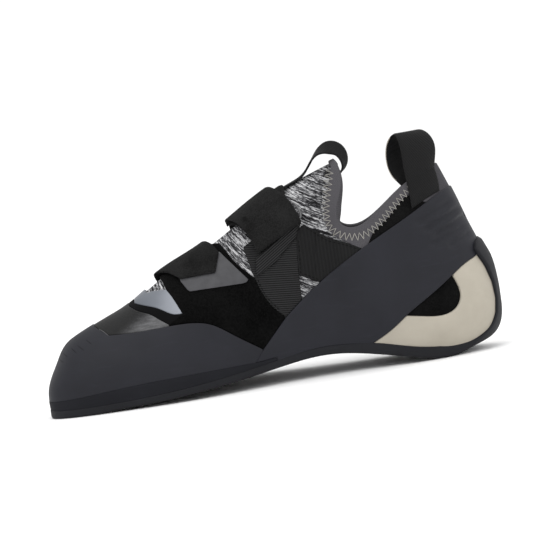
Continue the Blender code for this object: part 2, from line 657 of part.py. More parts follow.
# Tongue pull loop: flat on the ridge, up, over with a twist and down inside the tongue
Turn = namedtuple("Turn", "x z twist")
TONGUE_TURNS = [Turn(141, 103.3, 0), Turn(148, 106.3, 0), Turn(155, 109.3, 0), Turn(159.6, 114.6, 4),
                Turn(164.4, 119.6, 22), Turn(170.5, 121.5, 42), Turn(175.8, 119.6, 42), Turn(178.2, 115, 30),
                Turn(177.8, 110.2, 12), Turn(174.8, 106.9, 0), Turn(170, 105.2, 0)]
TONGUE_WIDE = 10
TONGUE_MID = -1
turn_at = spline(range(len(TONGUE_TURNS)), TONGUE_TURNS)
grid = []
for t in np.linspace(0, len(TONGUE_TURNS) - 1, 18):
    x, z, twist = turn_at(t)
    ahead = turn_at(t + 0.05) - turn_at(t - 0.05)
    outer = np.array((-ahead[1], ahead[0])) / math.hypot(ahead[0], ahead[1])
    row = []
    for j in np.linspace(-0.5, 0.5, 3) * TONGUE_WIDE:
        out = j * math.sin(math.radians(twist))
        row.append((x + outer[0] * out, TONGUE_MID + j * math.cos(math.radians(twist)), z + outer[1] * out))
    grid.append(row)
ribbon("tongue_loop", grid, WEBBING, BLACK, 0.8)
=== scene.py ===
"""Looks of the climbing shoe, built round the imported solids.

Sizes are millimetres in the solids' working frame: x from the toe tip to the heel, y negative on
the inner side of the foot, z up from the floor. Each piece is moved to the frame when it is made.
"""
import json
import math
from collections import namedtuple

import bpy
import numpy as np
from mathutils import Euler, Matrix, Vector

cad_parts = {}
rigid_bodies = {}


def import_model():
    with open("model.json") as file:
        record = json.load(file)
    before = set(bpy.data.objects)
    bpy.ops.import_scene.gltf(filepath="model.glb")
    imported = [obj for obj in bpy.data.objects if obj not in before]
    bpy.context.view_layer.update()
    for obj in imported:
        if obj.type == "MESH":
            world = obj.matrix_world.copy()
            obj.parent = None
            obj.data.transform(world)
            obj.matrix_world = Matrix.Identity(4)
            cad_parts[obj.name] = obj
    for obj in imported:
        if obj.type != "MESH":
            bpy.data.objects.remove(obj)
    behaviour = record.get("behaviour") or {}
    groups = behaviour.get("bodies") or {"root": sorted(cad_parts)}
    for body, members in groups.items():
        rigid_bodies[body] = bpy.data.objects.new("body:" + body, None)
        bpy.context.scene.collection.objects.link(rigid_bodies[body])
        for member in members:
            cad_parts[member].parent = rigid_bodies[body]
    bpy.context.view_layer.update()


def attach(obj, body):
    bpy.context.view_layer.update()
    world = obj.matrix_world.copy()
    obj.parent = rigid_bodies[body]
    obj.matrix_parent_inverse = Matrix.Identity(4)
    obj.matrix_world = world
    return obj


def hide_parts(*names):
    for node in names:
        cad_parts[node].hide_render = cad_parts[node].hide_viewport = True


for old in list(bpy.data.objects):
    bpy.data.objects.remove(old, do_unlink=True)

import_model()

MM = 0.001
X_MID = 124.85
Y_MID = -1.21
WALL = 2.0
GAP = 0.3
TINY = 1e-6
UP = np.array((0.0, 0.0, 1.0))
BODY = "root"

# Sole seen from the side: underside and upper side along the foot
Sole = namedtuple("Sole", "x under top")
SOLE = [
    Sole(-6, -0.4, 4.8),
    Sole(20, -0.4, 4.8),
    Sole(36, 0.8, 5.2),
    Sole(60, 2.0, 6.4),
    Sole(85, 4.0, 8.5),
    Sole(105, 6.2, 10.8),
    Sole(125, 9.0, 13.6),
    Sole(150, 11.5, 16.7),
    Sole(165, 10.5, 16.3),
    Sole(180, 7.7, 14.6),
    Sole(195, 4.2, 10.8),
    Sole(207, 1.0, 7.4),
    Sole(218, -1.2, 5.4),
    Sole(228, -1.0, 5.6),
    Sole(240, 2.5, 7.6),
]

# One row per section: edge above the sole on both sides, then the fullness of the wall
Section = namedtuple("Section", "in_x in_y out_x out_y low_out low_up high_out high_drop high_fore")
SECTIONS = [
    Section(2.4, -22.0, 2.4, -22.0, 1.5, 15, 10, 0, 0),
    Section(5.0, -31.0, 6.0, -11.0, 2.0, 15, 11, 0, 0),
    Section(14, -37.0, 17, 4.0, 3.0, 17, 12, 0, 0),
    Section(30, -40.3, 34, 18.5, 3.5, 20, 15, 1, 0),
    Section(50, -42.2, 56, 31.0, 3.5, 22, 18, 1, 0),
    Section(72, -42.4, 80, 39.3, 3.0, 25, 20, 2, 0),
    Section(95, -39.0, 104, 40.0, 3.0, 28, 21, 3, 0),
    Section(117, -32.3, 125, 36.0, 4.0, 32, 20, 5, 1),
    Section(135, -27.2, 142, 32.0, 5.0, 36, 20, 6, 5),
    Section(149, -24.6, 155, 29.4, 6.0, 38, 16, 5, 13),
    Section(160, -23.6, 163, 28.2, 7.0, 36, 6, 11, 14),
    Section(171, -23.6, 174, 27.0, 8.0, 30, 3, 16, 4),
    Section(185, -24.6, 188, 26.3, 9.0, 26, 3, 22, 0),
    Section(204, -24.8, 206, 25.0, 9.5, 18, 5, 30, 0),
    Section(225, -17.5, 226, 17.7, 14, 8, 11, 36, 0),
    Section(236, 0, 236, 0, 20, 1, 16.5, 42, 0),
]

# Top line of the closed front, toe to tongue
Ridge = namedtuple("Ridge", "x y z")
RIDGE = [
    Ridge(18, -17.7, 39.0),
    Ridge(23, -17.6, 41.4),
    Ridge(30, -16.2, 44.4),
    Ridge(40, -14, 48.4),
    Ridge(53, -11, 54.4),
    Ridge(72, -8, 66.0),
    Ridge(94, -5.5, 75.8),
    Ridge(117, -3.5, 89.0),
    Ridge(141, -2, 102.2),
    Ridge(173, -0.5, 113.8),
]

# Collar edge behind the tongue, inner and outer side of each section
Collar = namedtuple("Collar", "in_x in_y in_z out_x out_y out_z")
COLLAR = [
    Collar(174.5, -17, 102, 175, 17, 101),
    Collar(169.5, -26, 83.5, 170.5, 26, 81.5),
    Collar(181, -28.5, 78, 183, 28.5, 76),
    Collar(200, -25, 91, 202, 25.5, 88),
    Collar(219, -14.5, 101, 220, 15, 100.5),
]
HEEL_TOP = (227, 0, 103.5)

# Where the photo's outline leaves the solids: a push along x between two heights, all with soft
# starts; it begins at x and grows towards the heel, or towards the toe where x_soft is negative
Push = namedtuple("Push", "by x x_soft low low_soft high high_soft")
FULL_HEEL = Push(2.7, 222, 18, -2, 16, 72, 30)
FLAT_TOE = Push(2.1, 26, -22, 13, 16, 46, 18)

# Small step for slopes, and where the two sides come to share one direction at the ridge
STEP = 0.01
TOP_FADE = 1.5
NORMAL_TOP = 0.985
SHARE_V = 0.93
SHARE_V_SOFT = 0.07
SHARE_R = 0.25
SHARE_R_SOFT = 0.5
THROAT = len(RIDGE) - 1
BACK = len(SECTIONS) - 1
ROUND = 2 * BACK


def spline(knots, rows):
    """Natural cubic curve through the rows, for one place or many."""
    x = np.array(knots, float)
    y = np.array(rows, float)
    h = np.diff(x)
    count = len(x)
    left = np.eye(count)
    right = np.zeros_like(y)
    for i in range(1, count - 1):
        left[i, i - 1:i + 2] = h[i - 1], 2 * (h[i - 1] + h[i]), h[i]
        right[i] = 6 * ((y[i + 1] - y[i]) / h[i] - (y[i] - y[i - 1]) / h[i - 1])
    bend = np.linalg.solve(left, right)

    def at(t):
        t = np.asarray(t, float)
        i = np.clip(np.searchsorted(x, t) - 1, 0, count - 2)
        wide = h[i]
        u = (t - x[i]) / wide
        if y.ndim > 1:
            u = u[..., None]
            wide = wide[..., None]
        w = 1 - u
        soft = (w ** 3 - w) * bend[i] + (u ** 3 - u) * bend[i + 1]
        return w * y[i] + u * y[i + 1] + wide ** 2 / 6 * soft

    return at


def loop(rows):
    """Closed curve through the rows, counted from the first."""
    extra = 4
    return spline(range(-extra, len(rows) + extra), rows[-extra:] + rows + rows[:extra])


def unit(v):
    return v / np.maximum(np.linalg.norm(v, axis=-1), 1e-9)[..., None]


def ways(points, axis=0):
    """Distance along one axis of a row or grid of points, from its first."""
    steps = np.linalg.norm(np.diff(points, axis=axis), axis=-1)
    start = np.zeros_like(np.take(steps, [0], axis=axis))
    return np.concatenate((start, np.cumsum(steps, axis=axis)), axis=axis)


def on_line(rows, t):
    """Points at distances t along a line of points."""
    rows = np.asarray(rows, float)
    return np.stack([np.interp(t, ways(rows), column) for column in rows.T], axis=-1)


def along_line(rows, count):
    """Evenly spread points on a line of points."""
    return on_line(rows, np.linspace(0, ways(rows)[-1], count))


def crossed(a, b):
    """All pairs of two rows of values, as two flat rows."""
    return [g.ravel() for g in np.meshgrid(a, b, indexing="ij")]


def clip01(t):
    return np.clip(t, 0.0, 1.0)


def ease(t):
    """Soft step from 0 to 1."""
    t = clip01(t)
    return t * t * (3 - 2 * t)


sole_under = spline([s.x for s in SOLE], [s.under for s in SOLE])
sole_top = spline([s.x for s in SOLE], [s.top for s in SOLE])
ridge = spline(range(len(RIDGE)), RIDGE)
fullness = spline(range(len(SECTIONS)), [s[4:] for s in SECTIONS])
feather = loop([s[0:2] for s in SECTIONS] + [s[2:4] for s in SECTIONS[-2:0:-1]])
collar = loop([tuple(RIDGE[-1])] + [c[0:3] for c in COLLAR] + [HEEL_TOP] + [c[3:6] for c in COLLAR[::-1]])


def under(x):
    """Underside of the sole, with the flat toe and heel spots on the floor."""
    return np.maximum(0.0, sole_under(x))


def outward(q):
    """Plan direction out of the shoe at a place round its edge."""
    step = feather(q + STEP) - feather(q - STEP)
    return unit(np.stack((step[..., 1], -step[..., 0], 0 * step[..., 0]), axis=-1))


def base(q, v):
    """Upper's outer skin: q runs round the edge from the toe, v from the sole to the top line."""
    q = np.asarray(q, float) % ROUND
    v = np.asarray(v, float)[..., None]
    r = np.where(q <= BACK, q, ROUND - q)
    edge = feather(q)
    foot = np.concatenate((edge, sole_top(edge[..., 0])[..., None]), axis=-1)
    out = outward(q)
    low_out, low_up, high_out, high_drop, high_fore = np.moveaxis(fullness(r), -1, 0)
    front = np.minimum(r, THROAT)
    step = ridge(front) - ridge(front - STEP)
    slope = step[..., 2] / step[..., 0] * clip01(1 - (r - THROAT) / TOP_FADE)
    behind = np.where(q <= BACK, np.maximum(r - THROAT, 0), ROUND - THROAT - np.maximum(r, THROAT))
    top = np.where((r <= THROAT)[..., None], ridge(front), collar(behind))
    low = foot + out * low_out[..., None] + UP * low_up[..., None]
    pull = out[..., 0] * high_out - high_fore
    high = top + np.stack((pull, out[..., 1] * high_out, slope * pull - high_drop), axis=-1)
    u = 1 - v
    spot = u ** 3 * foot + 3 * u * u * v * low + 3 * u * v * v * high + v ** 3 * top
    x, z = spot[..., 0], spot[..., 2]
    for p in (FULL_HEEL, FLAT_TOE):
        level = ease((z - p.low) / p.low_soft) * ease((p.high - z) / p.high_soft)
        x += p.by * ease((x - p.x) / p.x_soft) * level
    return spot


def normal(q, v):
    """Direction out of the skin, taken just below the top line."""
    v = np.minimum(v, NORMAL_TOP)
    a = base(q + 2 * STEP, v) - base(q - 2 * STEP, v)
    b = base(q, np.minimum(v + STEP, 1)) - base(q, np.maximum(v - STEP, 0))
    return unit(np.cross(a, b))


def skin(q, v, lift):
    """Point above the skin; the two sides share one direction along the ridge."""
    q = np.asarray(q, float) % ROUND
    v = np.asarray(v, float) + 0 * q
    r = np.minimum(q, ROUND - q)
    share = ease((v - SHARE_V) / SHARE_V_SOFT) * ease((THROAT + SHARE_R - r) / SHARE_R_SOFT)
    n = unit(normal(q, v) + share[..., None] * normal(ROUND - q, v))
    return base(q, v) + n * np.asarray(lift, float)[..., None]


# Lines seen from the side as (x, z) places; neighbours share them
BAND_TOP = [(-9, 9.2), (15, 10), (40, 12.2), (70, 13.7), (100, 14.2), (114.5, 14.2)]
RAND_TOP = [(26, 51), (30.5, 45.7), (38, 40.6), (55, 40.4), (76.5, 41.2),
            (86, 40.6), (93, 38.8), (103, 32.4), (112, 25.8), (119.5, 20.5)]
SLING_FRONT = [(114.5, 14.2), (119.5, 20.5), (134, 35.5)]
SLING_TOP = [(134, 35.5), (144, 43.5), (155, 51.5), (180, 66.5), (210, 81.0),
             (222, 87), (229, 89.8), (242, 92)]
SLING_FOOT = [(178.6, 14.0), (190, 20.5), (198, 26.5), (210, 34), (226.5, 44.3),
              (234.5, 49.2), (240, 51.4)]
STRIP_EDGE = [(227, 2), (230.5, 6), (238, 9), (243.2, 12), (246.9, 19), (248.2, 27),
              (247.4, 36), (244.7, 45), (241.3, 52), (239.7, 55.5), (241, 58.8), (243.5, 60.8),
              (256, 61.6)]
WINDOW = [(198, 26.5), (206, 25), (218, 23.6), (224, 25), (228, 28.5), (229.6, 33),
          (229, 38), (226.5, 44.3)]
STRIP_LOW = [(49.5, 62), (50.5, 53.6), (57, 50.2), (61, 48.8), (66, 45.5), (72.5, 41.05)]
STRIP_HIGH = [(53, 62), (53.6, 54.8), (60, 53), (65, 51.5), (70, 49), (74, 47),
              (79.3, 46.6)]
FLEECE_FRONT = [(79.3, 46.6), (77, 51.5), (74.5, 56.3), (72, 60)]
WEB_FRONT = [(134, 35.5), (128, 42), (123, 51), (120.5, 59)]
BIND_LINE = [(168.5, 119), (170, 111), (165.3, 97), (162.3, 86), (163, 79.2), (166.8, 74.6),
             (173, 70.2), (181.5, 65.8), (187, 73.4), (196, 80), (207, 89.5), (211, 90.5),
             (215, 87), (220, 84.5), (229, 86.5), (242, 89)]


def curve(rows, step=1.5):
    """The rows as a smooth line of short stretches."""
    way = ways(rows)
    at = spline(way, rows)
    return [tuple(p) for p in at(np.linspace(0, way[-1], max(2, int(way[-1] / step))))]


def inside(x, z, outline):
    """Distance inside a closed outline, negative outside it."""
    ring = np.array(outline, float)
    near = np.full(x.shape, 1e9)
    odd = np.zeros(x.shape, bool)
    for (ax, az), (bx, bz) in zip(ring, np.roll(ring, -1, axis=0)):
        wx, wz = bx - ax, bz - az
        t = clip01(((x - ax) * wx + (z - az) * wz) / max(wx * wx + wz * wz, 1e-9))
        near = np.minimum(near, (x - ax - t * wx) ** 2 + (z - az - t * wz) ** 2)
        if az != bz:
            odd ^= ((az > z) != (bz > z)) & (x < ax + (z - az) / (bz - az) * wx)
    return np.where(odd, 1, -1) * np.sqrt(near)


# Creases and dents pressed in: a line seen from the near side, its width and depth
Crease = namedtuple("Crease", "x0 z0 x1 z1 wide deep")
CREASE_FADE = 0.25
RAND_FOLDS = [Crease(88, 34, 108, 20, 3.0, 0.4), Crease(96, 32, 113, 19, 2.0, -0.25),
              Crease(36, 36, 62, 30, 5.0, 0.35)]
SLING_FOLDS = [Crease(208, 73.5, 234, 84.0, 1.8, 1.3), Crease(212, 69.6, 239, 79.6, 1.8, 1.9),
               Crease(217, 66.0, 242, 75.0, 1.8, 2.0), Crease(215, 61.2, 241, 69.8, 1.8, 1.7),
               Crease(225, 59.4, 242, 65.0, 1.8, 1.3), Crease(134, 30, 176, 54, 5.0, 0.35),
               Crease(140, 22, 186, 42, 6.0, -0.3), Crease(196, 52, 226, 66, 5.0, 0.3)]
FLEECE_FOLDS = [Crease(96, 50, 120, 30, 3.0, 0.5), Crease(84, 52, 100, 44, 3.0, -0.4),
                Crease(104, 44, 124, 38, 2.5, 0.4)]
KNIT_FOLDS = [Crease(104, 80, 118, 62, 2.0, 0.5), Crease(158, 106, 160, 88, 2.5, 0.5),
              Crease(147, 104, 153, 88, 2.5, -0.4)]


def pressed(points, near, creases):
    """How far the creases lower each point."""
    drop = np.zeros(len(points))
    for c in creases:
        along = np.array((c.x1 - c.x0, c.z1 - c.z0), float)
        size = np.linalg.norm(along)
        off = points[:, [0, 2]] - (c.x0, c.z0)
        t = off @ along / size ** 2
        gap = (off[:, 0] * along[1] - off[:, 1] * along[0]) / size
        drop += c.deep * np.exp(-(gap / c.wide) ** 2) * ease(t / CREASE_FADE) * ease((1 - t) / CREASE_FADE)
    return drop * near


# Meshes; points nearer than the weld are joined
WELD = 0.004


def mesh(name, points, faces, material, uv, nodes=(), smooth=50):
    """A piece of the shoe from working-frame points and triangles, riding on the shoe."""
    place = (np.asarray(points, float) - (X_MID, Y_MID, 0)) * MM
    corners = np.asarray(faces, np.int32).ravel()
    data = bpy.data.meshes.new(name)
    data.vertices.add(len(place))
    data.vertices.foreach_set("co", place.astype(np.float32).ravel())
    data.loops.add(len(corners))
    data.loops.foreach_set("vertex_index", corners)
    data.polygons.add(len(corners) // 3)
    data.polygons.foreach_set("loop_start", np.arange(0, len(corners), 3, dtype=np.int32))
    data.update(calc_edges=True)
    layer = data.uv_layers.new(name="UVMap")
    layer.data.foreach_set("uv", (np.asarray(uv, float)[corners] * MM).astype(np.float32).ravel())
    data.shade_smooth()
    data.set_sharp_from_angle(angle=math.radians(smooth))
    data.materials.append(material)
    piece = bpy.data.objects.new(name, data)
    bpy.context.scene.collection.objects.link(piece)
    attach(piece, BODY)
    if nodes:
        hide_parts(*nodes)
    return piece


def weld(points, faces, *extras):
    """Joins points that lie at one place; drops faces that vanish."""
    key = np.round(np.asarray(points) / WELD).astype(int)
    _, first, back = np.unique(key, axis=0, return_index=True, return_inverse=True)
    a, b, c = back.ravel()[faces].T
    whole = (a != b) & (b != c) & (c != a)
    faces = np.stack((a, b, c), axis=1)[whole]
    return (np.asarray(points)[first], faces, *[np.asarray(e)[first] for e in extras])


def quads(a, b, c, d):
    """Two triangles for each four-sided face."""
    return np.concatenate([np.stack(f, axis=-1).reshape(-1, 3) for f in ((a, b, c), (a, c, d))])


def grid_faces(rows, columns, start=0):
    """Triangles over a grid of points, counted row by row."""
    a = np.arange(rows - 1)[:, None] * columns + np.arange(columns - 1) + start
    return quads(a, a + 1, a + columns + 1, a + columns)


# The fine net over the skin that panels are cut from
PITCH = 0.85
HIGH = 104
walk = np.linspace(0, BACK, 2001)
MID_WALL = 0.45
steps = np.maximum(np.diff(ways(base(walk, MID_WALL))), np.diff(ways(base(walk, 0))))
way = np.concatenate(((0,), np.cumsum(steps)))
SIDE_Q = np.interp(np.linspace(0, way[-1], int(way[-1] / PITCH)), way, walk)
THROAT_STOP = int(np.argmin(np.abs(SIDE_Q - THROAT)))
SIDE_Q[THROAT_STOP] = THROAT
NET_Q = np.concatenate((SIDE_Q, ROUND - SIDE_Q[-2::-1]))
NET_V = np.linspace(0, 1, HIGH)
net_q, net_v = crossed(NET_Q, NET_V)
net_base = base(net_q, net_v).reshape(len(NET_Q), HIGH, 3)
net_up = ways(net_base, 1).ravel()
cell = np.arange((len(NET_Q) - 1) * HIGH).reshape(-1, HIGH)[:, :-1].ravel()
net_faces = np.concatenate((np.stack((cell, cell + HIGH, cell + HIGH + 1), axis=1),
                            np.stack((cell, cell + HIGH + 1, cell + 1), axis=1)))


def split(data, faces, level):
    """Cuts the faces along one distance; the last column of data is the distance."""
    d = data[:, -1]
    side = d[faces] > level
    many = side.sum(axis=1)
    mixed = (many == 1) | (many == 2)
    keep = faces[~mixed]
    part = faces[mixed]
    lone = np.argmax(side[mixed] == (many[mixed] == 1)[:, None], axis=1)
    row = np.arange(len(part))
    a, b, c = [part[row, (lone + k) % 3] for k in range(3)]
    pairs = np.sort(np.concatenate((np.stack((a, b), 1), np.stack((a, c), 1))), axis=1)
    edges, where = np.unique(pairs, axis=0, return_inverse=True)
    where = where.ravel() + len(data)
    t = clip01((level - d[edges[:, 0]]) / (d[edges[:, 1]] - d[edges[:, 0]]))[:, None]
    fresh = data[edges[:, 0]] * (1 - t) + data[edges[:, 1]] * t
    fresh[:, -1] = level
    ab, ac = where[:len(part)], where[len(part):]
    made = [np.stack(f, axis=1) for f in ((a, ab, ac), (ab, b, c), (ab, c, ac))]
    return np.concatenate((data, fresh)), np.concatenate([keep] + made)


# Panels: sides, how deep the skirt under an edge goes, and how far from the outline the net is used
NEAR, FAR, BOTH = "near", "far", "both"
SKIRT = -0.3
REACH = 6.0
CROWN_IN = 8.0
EDGE_SHARES = (0.0, 0.12, 0.4, 1.0)

# A panel's height above the skin at its edge and inside, and how wide its rounded edge is
Layer = namedtuple("Layer", "low high soft")


def trimmed(faces):
    """The points that the faces use, and the faces counted by them."""
    used, faces = np.unique(faces, return_inverse=True)
    return used, faces.reshape(-1, 3)


def patch(outline, layer, side=BOTH, creases=(), crown=0.0):
    """Points, faces and maps of a panel over the skin with a rounded edge."""
    low, high, soft = layer
    ring = np.array(outline)
    x, z = net_base[..., 0].ravel(), net_base[..., 2].ravel()
    wanted = (x > ring[:, 0].min() - REACH) & (x < ring[:, 0].max() + REACH)
    wanted &= (z > ring[:, 1].min() - REACH) & (z < ring[:, 1].max() + REACH)
    if side != BOTH:
        wanted &= (net_q <= BACK) if side == NEAR else (net_q >= BACK)
    used, faces = trimmed(net_faces[wanted[net_faces].all(axis=1)])
    spot = skin(net_q[used], net_v[used], high)
    depth = inside(spot[:, 0], spot[:, 2], outline)
    data = np.stack((net_q[used], net_v[used], net_up[used], depth), axis=1)
    for share in EDGE_SHARES:
        data, faces = split(data, faces, share * soft)
    used, faces = trimmed(faces[(data[faces, -1] >= -TINY).all(axis=1)])
    data = data[used]
    q, v, _, depth = data.T
    rise = np.sqrt(1 - (1 - clip01(depth / soft)) ** 2)
    near = (q <= BACK).astype(float)
    dent = pressed(skin(q, v, low), near, creases)
    points = skin(q, v, low + (high - low) * rise + crown * ease(depth / CROWN_IN) - dent)
    edges = np.concatenate([faces[:, [0, 1]], faces[:, [1, 2]], faces[:, [2, 0]]])
    _, first, many = np.unique(np.sort(edges, axis=1), axis=0, return_index=True, return_counts=True)
    rim = edges[first[many == 1]]
    # The toe seam and the ridge are one line on both sides, so no skirt hangs there
    r = np.minimum(q, ROUND - q)
    seam = (r < TINY) | ((v > 0.9999) & (r <= THROAT + TINY))
    rim = rim[~seam[rim].all(axis=1)]
    lowest, where = np.unique(rim, return_inverse=True)
    where = where.reshape(-1, 2) + len(data)
    hem = skin(q[lowest], v[lowest], SKIRT)
    skirt = quads(rim[:, 1], rim[:, 0], where[:, 0], where[:, 1])
    points = np.concatenate((points, hem))
    maps = np.concatenate((data, data[lowest]))
    return points, np.concatenate((faces, skirt)), maps


AROUND_WAY = np.concatenate((way, 2 * way[-1] - way[-2::-1]))
AROUND_Q = np.concatenate((walk, ROUND - walk[-2::-1]))


def maps_uv(maps):
    """Distance round the shoe and up from the sole."""
    return np.stack((np.interp(maps[:, 0], AROUND_Q, AROUND_WAY), maps[:, 2]), axis=1)


def side_uv(points, turn):
    """Side view turned by an angle, for ribs that run one way."""
    a = math.radians(turn)
    x, z = points[:, 0], points[:, 2]
    return np.stack((x * math.cos(a) + z * math.sin(a), z * math.cos(a) - x * math.sin(a)), axis=1)


def panel(name, outline, layer, material, nodes=(), side=BOTH, creases=(), turn=None, crown=0.0):
    """A panel over the skin, as a piece."""
    points, faces, maps = patch(outline, layer, side, creases, crown)
    uv = maps_uv(maps) if turn is None else side_uv(points, turn)
    points, faces, uv = weld(points, faces, uv)
    return mesh(name, points, faces, material, uv, nodes)


# Places on the skin that are given in the side view
SEEK_R = np.linspace(0, BACK, 241)
SEEK_V = np.linspace(0, 1, 61)
seek_r, seek_v = crossed(SEEK_R, SEEK_V)
SEEK = {side: base(side * seek_r, seek_v) for side in (1, -1)}


def locate(goal, side, lift=0.0):
    """Sections and heights of places seen at rows of (x, z) above the skin; side 1 is the inner side."""
    table = SEEK[side][:, [0, 2]]
    near = np.array([np.argmin(((table - g) ** 2).sum(axis=1)) for g in goal])
    spot = np.stack((seek_r[near], seek_v[near]), axis=1)

    def seen(r, v):
        return skin(side * r, v, lift)[:, [0, 2]]

    for _ in range(8):
        r, v = spot.T
        here = seen(r, v)
        dr = (seen(r + STEP, v) - here) / STEP
        dv = (seen(r, v - STEP) - here) / -STEP
        miss = goal - here
        flat = dr[:, 0] * dv[:, 1] - dr[:, 1] * dv[:, 0]
        flat = np.where(np.abs(flat) < 1e-3, 1e-3, flat)
        slip = np.stack((miss[:, 0] * dv[:, 1] - miss[:, 1] * dv[:, 0],
                         dr[:, 0] * miss[:, 1] - dr[:, 1] * miss[:, 0]), axis=1) / flat[:, None]
        spot = np.clip(spot + np.clip(slip, (-0.3, -0.06), (0.3, 0.06)), (0, 0.02), (BACK, 1))
    return spot


def over(rows, side=1):
    """Places as (section, way down from the ridge), negative on the inner side."""
    r, v = locate(rows, side).T
    return np.stack((r, -side * (1 - v)), axis=1)


def on_ridge(rows):
    """Places on the ridge at the sections of rows of (x, z)."""
    return over(rows) * (1, 0)


def above(spot, lift):
    """Points above the skin for places counted from the ridge."""
    spot = np.asarray(spot, float)
    r, w = spot[..., 0], spot[..., 1]
    return skin(np.where(w <= 0, r, ROUND - r), 1 - np.abs(w), lift)


def plate(one, two):
    """Closed faces between two matching grids of points."""
    rows, columns = one.shape[:2]
    points = np.concatenate((one.reshape(-1, 3), two.reshape(-1, 3)))
    shift = rows * columns
    index = np.arange(shift).reshape(rows, columns)
    ring = np.concatenate((index[0], index[1:, -1], index[-1, -2::-1], index[-2:0:-1, 0]))
    after = np.roll(ring, -1)
    face = grid_faces(rows, columns)
    wall = quads(after, ring, ring + shift, after + shift)
    return points, np.concatenate((face, face[:, ::-1] + shift, wall))


def ribbon(name, grid, thick, material, nodes, soft=0.35):
    """Band of even thickness about a grid of middle points, with rounded edges."""
    grid = np.asarray(grid, float)
    n = unit(np.cross(np.gradient(grid, axis=0), np.gradient(grid, axis=1)))
    half = np.full(grid.shape[:2] + (1,), thick / 2 - soft)
    half[1:-1, 1:-1] = thick / 2
    points, faces = plate(grid - n * half, grid + n * half)
    uv = np.stack((ways(grid, 1), ways(grid, 0)), axis=-1).reshape(-1, 2)
    return mesh(name, points, faces, material, np.concatenate((uv, uv)), nodes)


# No thread runs this way, and threads get thinner at their ends
ASIDE = np.array((0.37, 0.15, 1.0))
TAPER = 0.55


def tubes(name, paths, radius, material, around=6):
    """Many thin tubes with the same count of points as one mesh, for threads, edges and rims, and for the
    painted shade in pleats and holes.
    """
    paths = np.asarray(paths, float)
    many, count = paths.shape[:2]
    ahead = unit(np.gradient(paths, axis=1))
    side = unit(np.cross(ahead, ASIDE))
    top = np.cross(side, ahead)
    angle = np.linspace(0, 2 * math.pi, around, endpoint=False)
    size = np.full(count, radius)
    size[[0, -1]] *= TAPER
    ring = side[:, :, None] * np.cos(angle)[:, None] + top[:, :, None] * np.sin(angle)[:, None]
    points = (paths[:, :, None] + ring * size[:, None, None]).reshape(-1, 3)
    k = np.arange(around)
    start = (np.arange(many)[:, None, None] * count + np.arange(count - 1)[:, None]) * around
    a, b = start + k, start + (k + 1) % around
    first = np.arange(many)[:, None] * count * around
    last = first + (count - 1) * around
    fan = np.arange(1, around - 1)
    caps = [np.stack((end + 0 * fan, end + fan + up, end + fan + 1 - up), axis=-1).reshape(-1, 3)
            for end, up in ((first, 1), (last, 0))]
    faces = np.concatenate([quads(a, b, b + around, a + around)] + caps)
    return mesh(name, points, faces, material, points[:, :2], smooth=80)


# Materials
class Finish:
    """A material under construction; each call adds one node."""

    def __init__(self, name, rough, specular, sheen=0.0):
        self.material = bpy.data.materials.new(name)
        self.material.use_nodes = True
        self.tree = self.material.node_tree
        self.shader = self.tree.nodes["Principled BSDF"]
        self.shader.inputs["Roughness"].default_value = rough
        self.shader.inputs["Specular IOR Level"].default_value = specular
        self.shader.inputs["Sheen Weight"].default_value = sheen
        self.shader.inputs["Sheen Roughness"].default_value = 0.6

    def node(self, kind, inputs=None, **settings):
        made = self.tree.nodes.new(kind)
        for key, value in settings.items():
            setattr(made, key, value)
        for key, value in (inputs or {}).items():
            if isinstance(value, bpy.types.NodeSocket):
                self.tree.links.new(value, made.inputs[key])
            else:
                made.inputs[key].default_value = value
        return made

    def uv(self):
        return self.node("ShaderNodeTexCoord").outputs["UV"]

    def place(self):
        return self.node("ShaderNodeTexCoord").outputs["Object"]

    def stretch(self, vector, scale, turn=0.0):
        made = self.node("ShaderNodeMapping", {"Vector": vector, "Scale": scale})
        made.inputs["Rotation"].default_value = (0, 0, math.radians(turn))
        return made.outputs["Vector"]

    def noise(self, vector, scale, detail=4.0, rough=0.55):
        return self.node("ShaderNodeTexNoise", {"Vector": vector, "Scale": scale, "Detail": detail,
                                                "Roughness": rough}).outputs["Fac"]

    def wave(self, vector, scale, warp, direction):
        return self.node("ShaderNodeTexWave", {"Vector": vector, "Scale": scale, "Distortion": warp,
                                               "Detail": 1.0, "Detail Scale": 2.0},
                         bands_direction=direction).outputs["Fac"]

    def math(self, how, a, b):
        return self.node("ShaderNodeMath", {0: a, 1: b}, operation=how).outputs[0]

    def mix(self, a, share, b, rest):
        return self.math("ADD", self.math("MULTIPLY", a, share), self.math("MULTIPLY", b, rest))

    def axes(self, vector):
        return self.node("ShaderNodeSeparateXYZ", {"Vector": vector}).outputs

    def between(self, value, start, end, low=0.0, high=1.0):
        """Runs from low to high between two places along x."""
        reach = {"From Min": (start - X_MID) * MM, "From Max": (end - X_MID) * MM}
        return self.node("ShaderNodeMapRange", {"Value": value, **reach, "To Min": low,
                                                "To Max": high}).outputs["Result"]

    def ramp(self, fac, *stops):
        made = self.node("ShaderNodeValToRGB", {"Fac": fac})
        band = made.color_ramp
        while len(band.elements) < len(stops):
            band.elements.new(0.5)
        for element, (place, rgb) in zip(band.elements, stops):
            element.position = place
            element.color = (*rgb, 1)
        return made.outputs["Color"]

    def colour(self, socket):
        self.tree.links.new(socket, self.shader.inputs["Base Color"])

    def rough(self, fac, low, high):
        made = self.node("ShaderNodeMapRange", {"Value": fac, "To Min": low, "To Max": high})
        self.tree.links.new(made.outputs["Result"], self.shader.inputs["Roughness"])

    def bump(self, height, distance):
        made = self.node("ShaderNodeBump", {"Height": height, "Distance": distance * MM, "Strength": 1.0})
        self.tree.links.new(made.outputs["Normal"], self.shader.inputs["Normal"])
        return self.material


def grey(value, blue=1.0):
    return (value, value, value * blue)


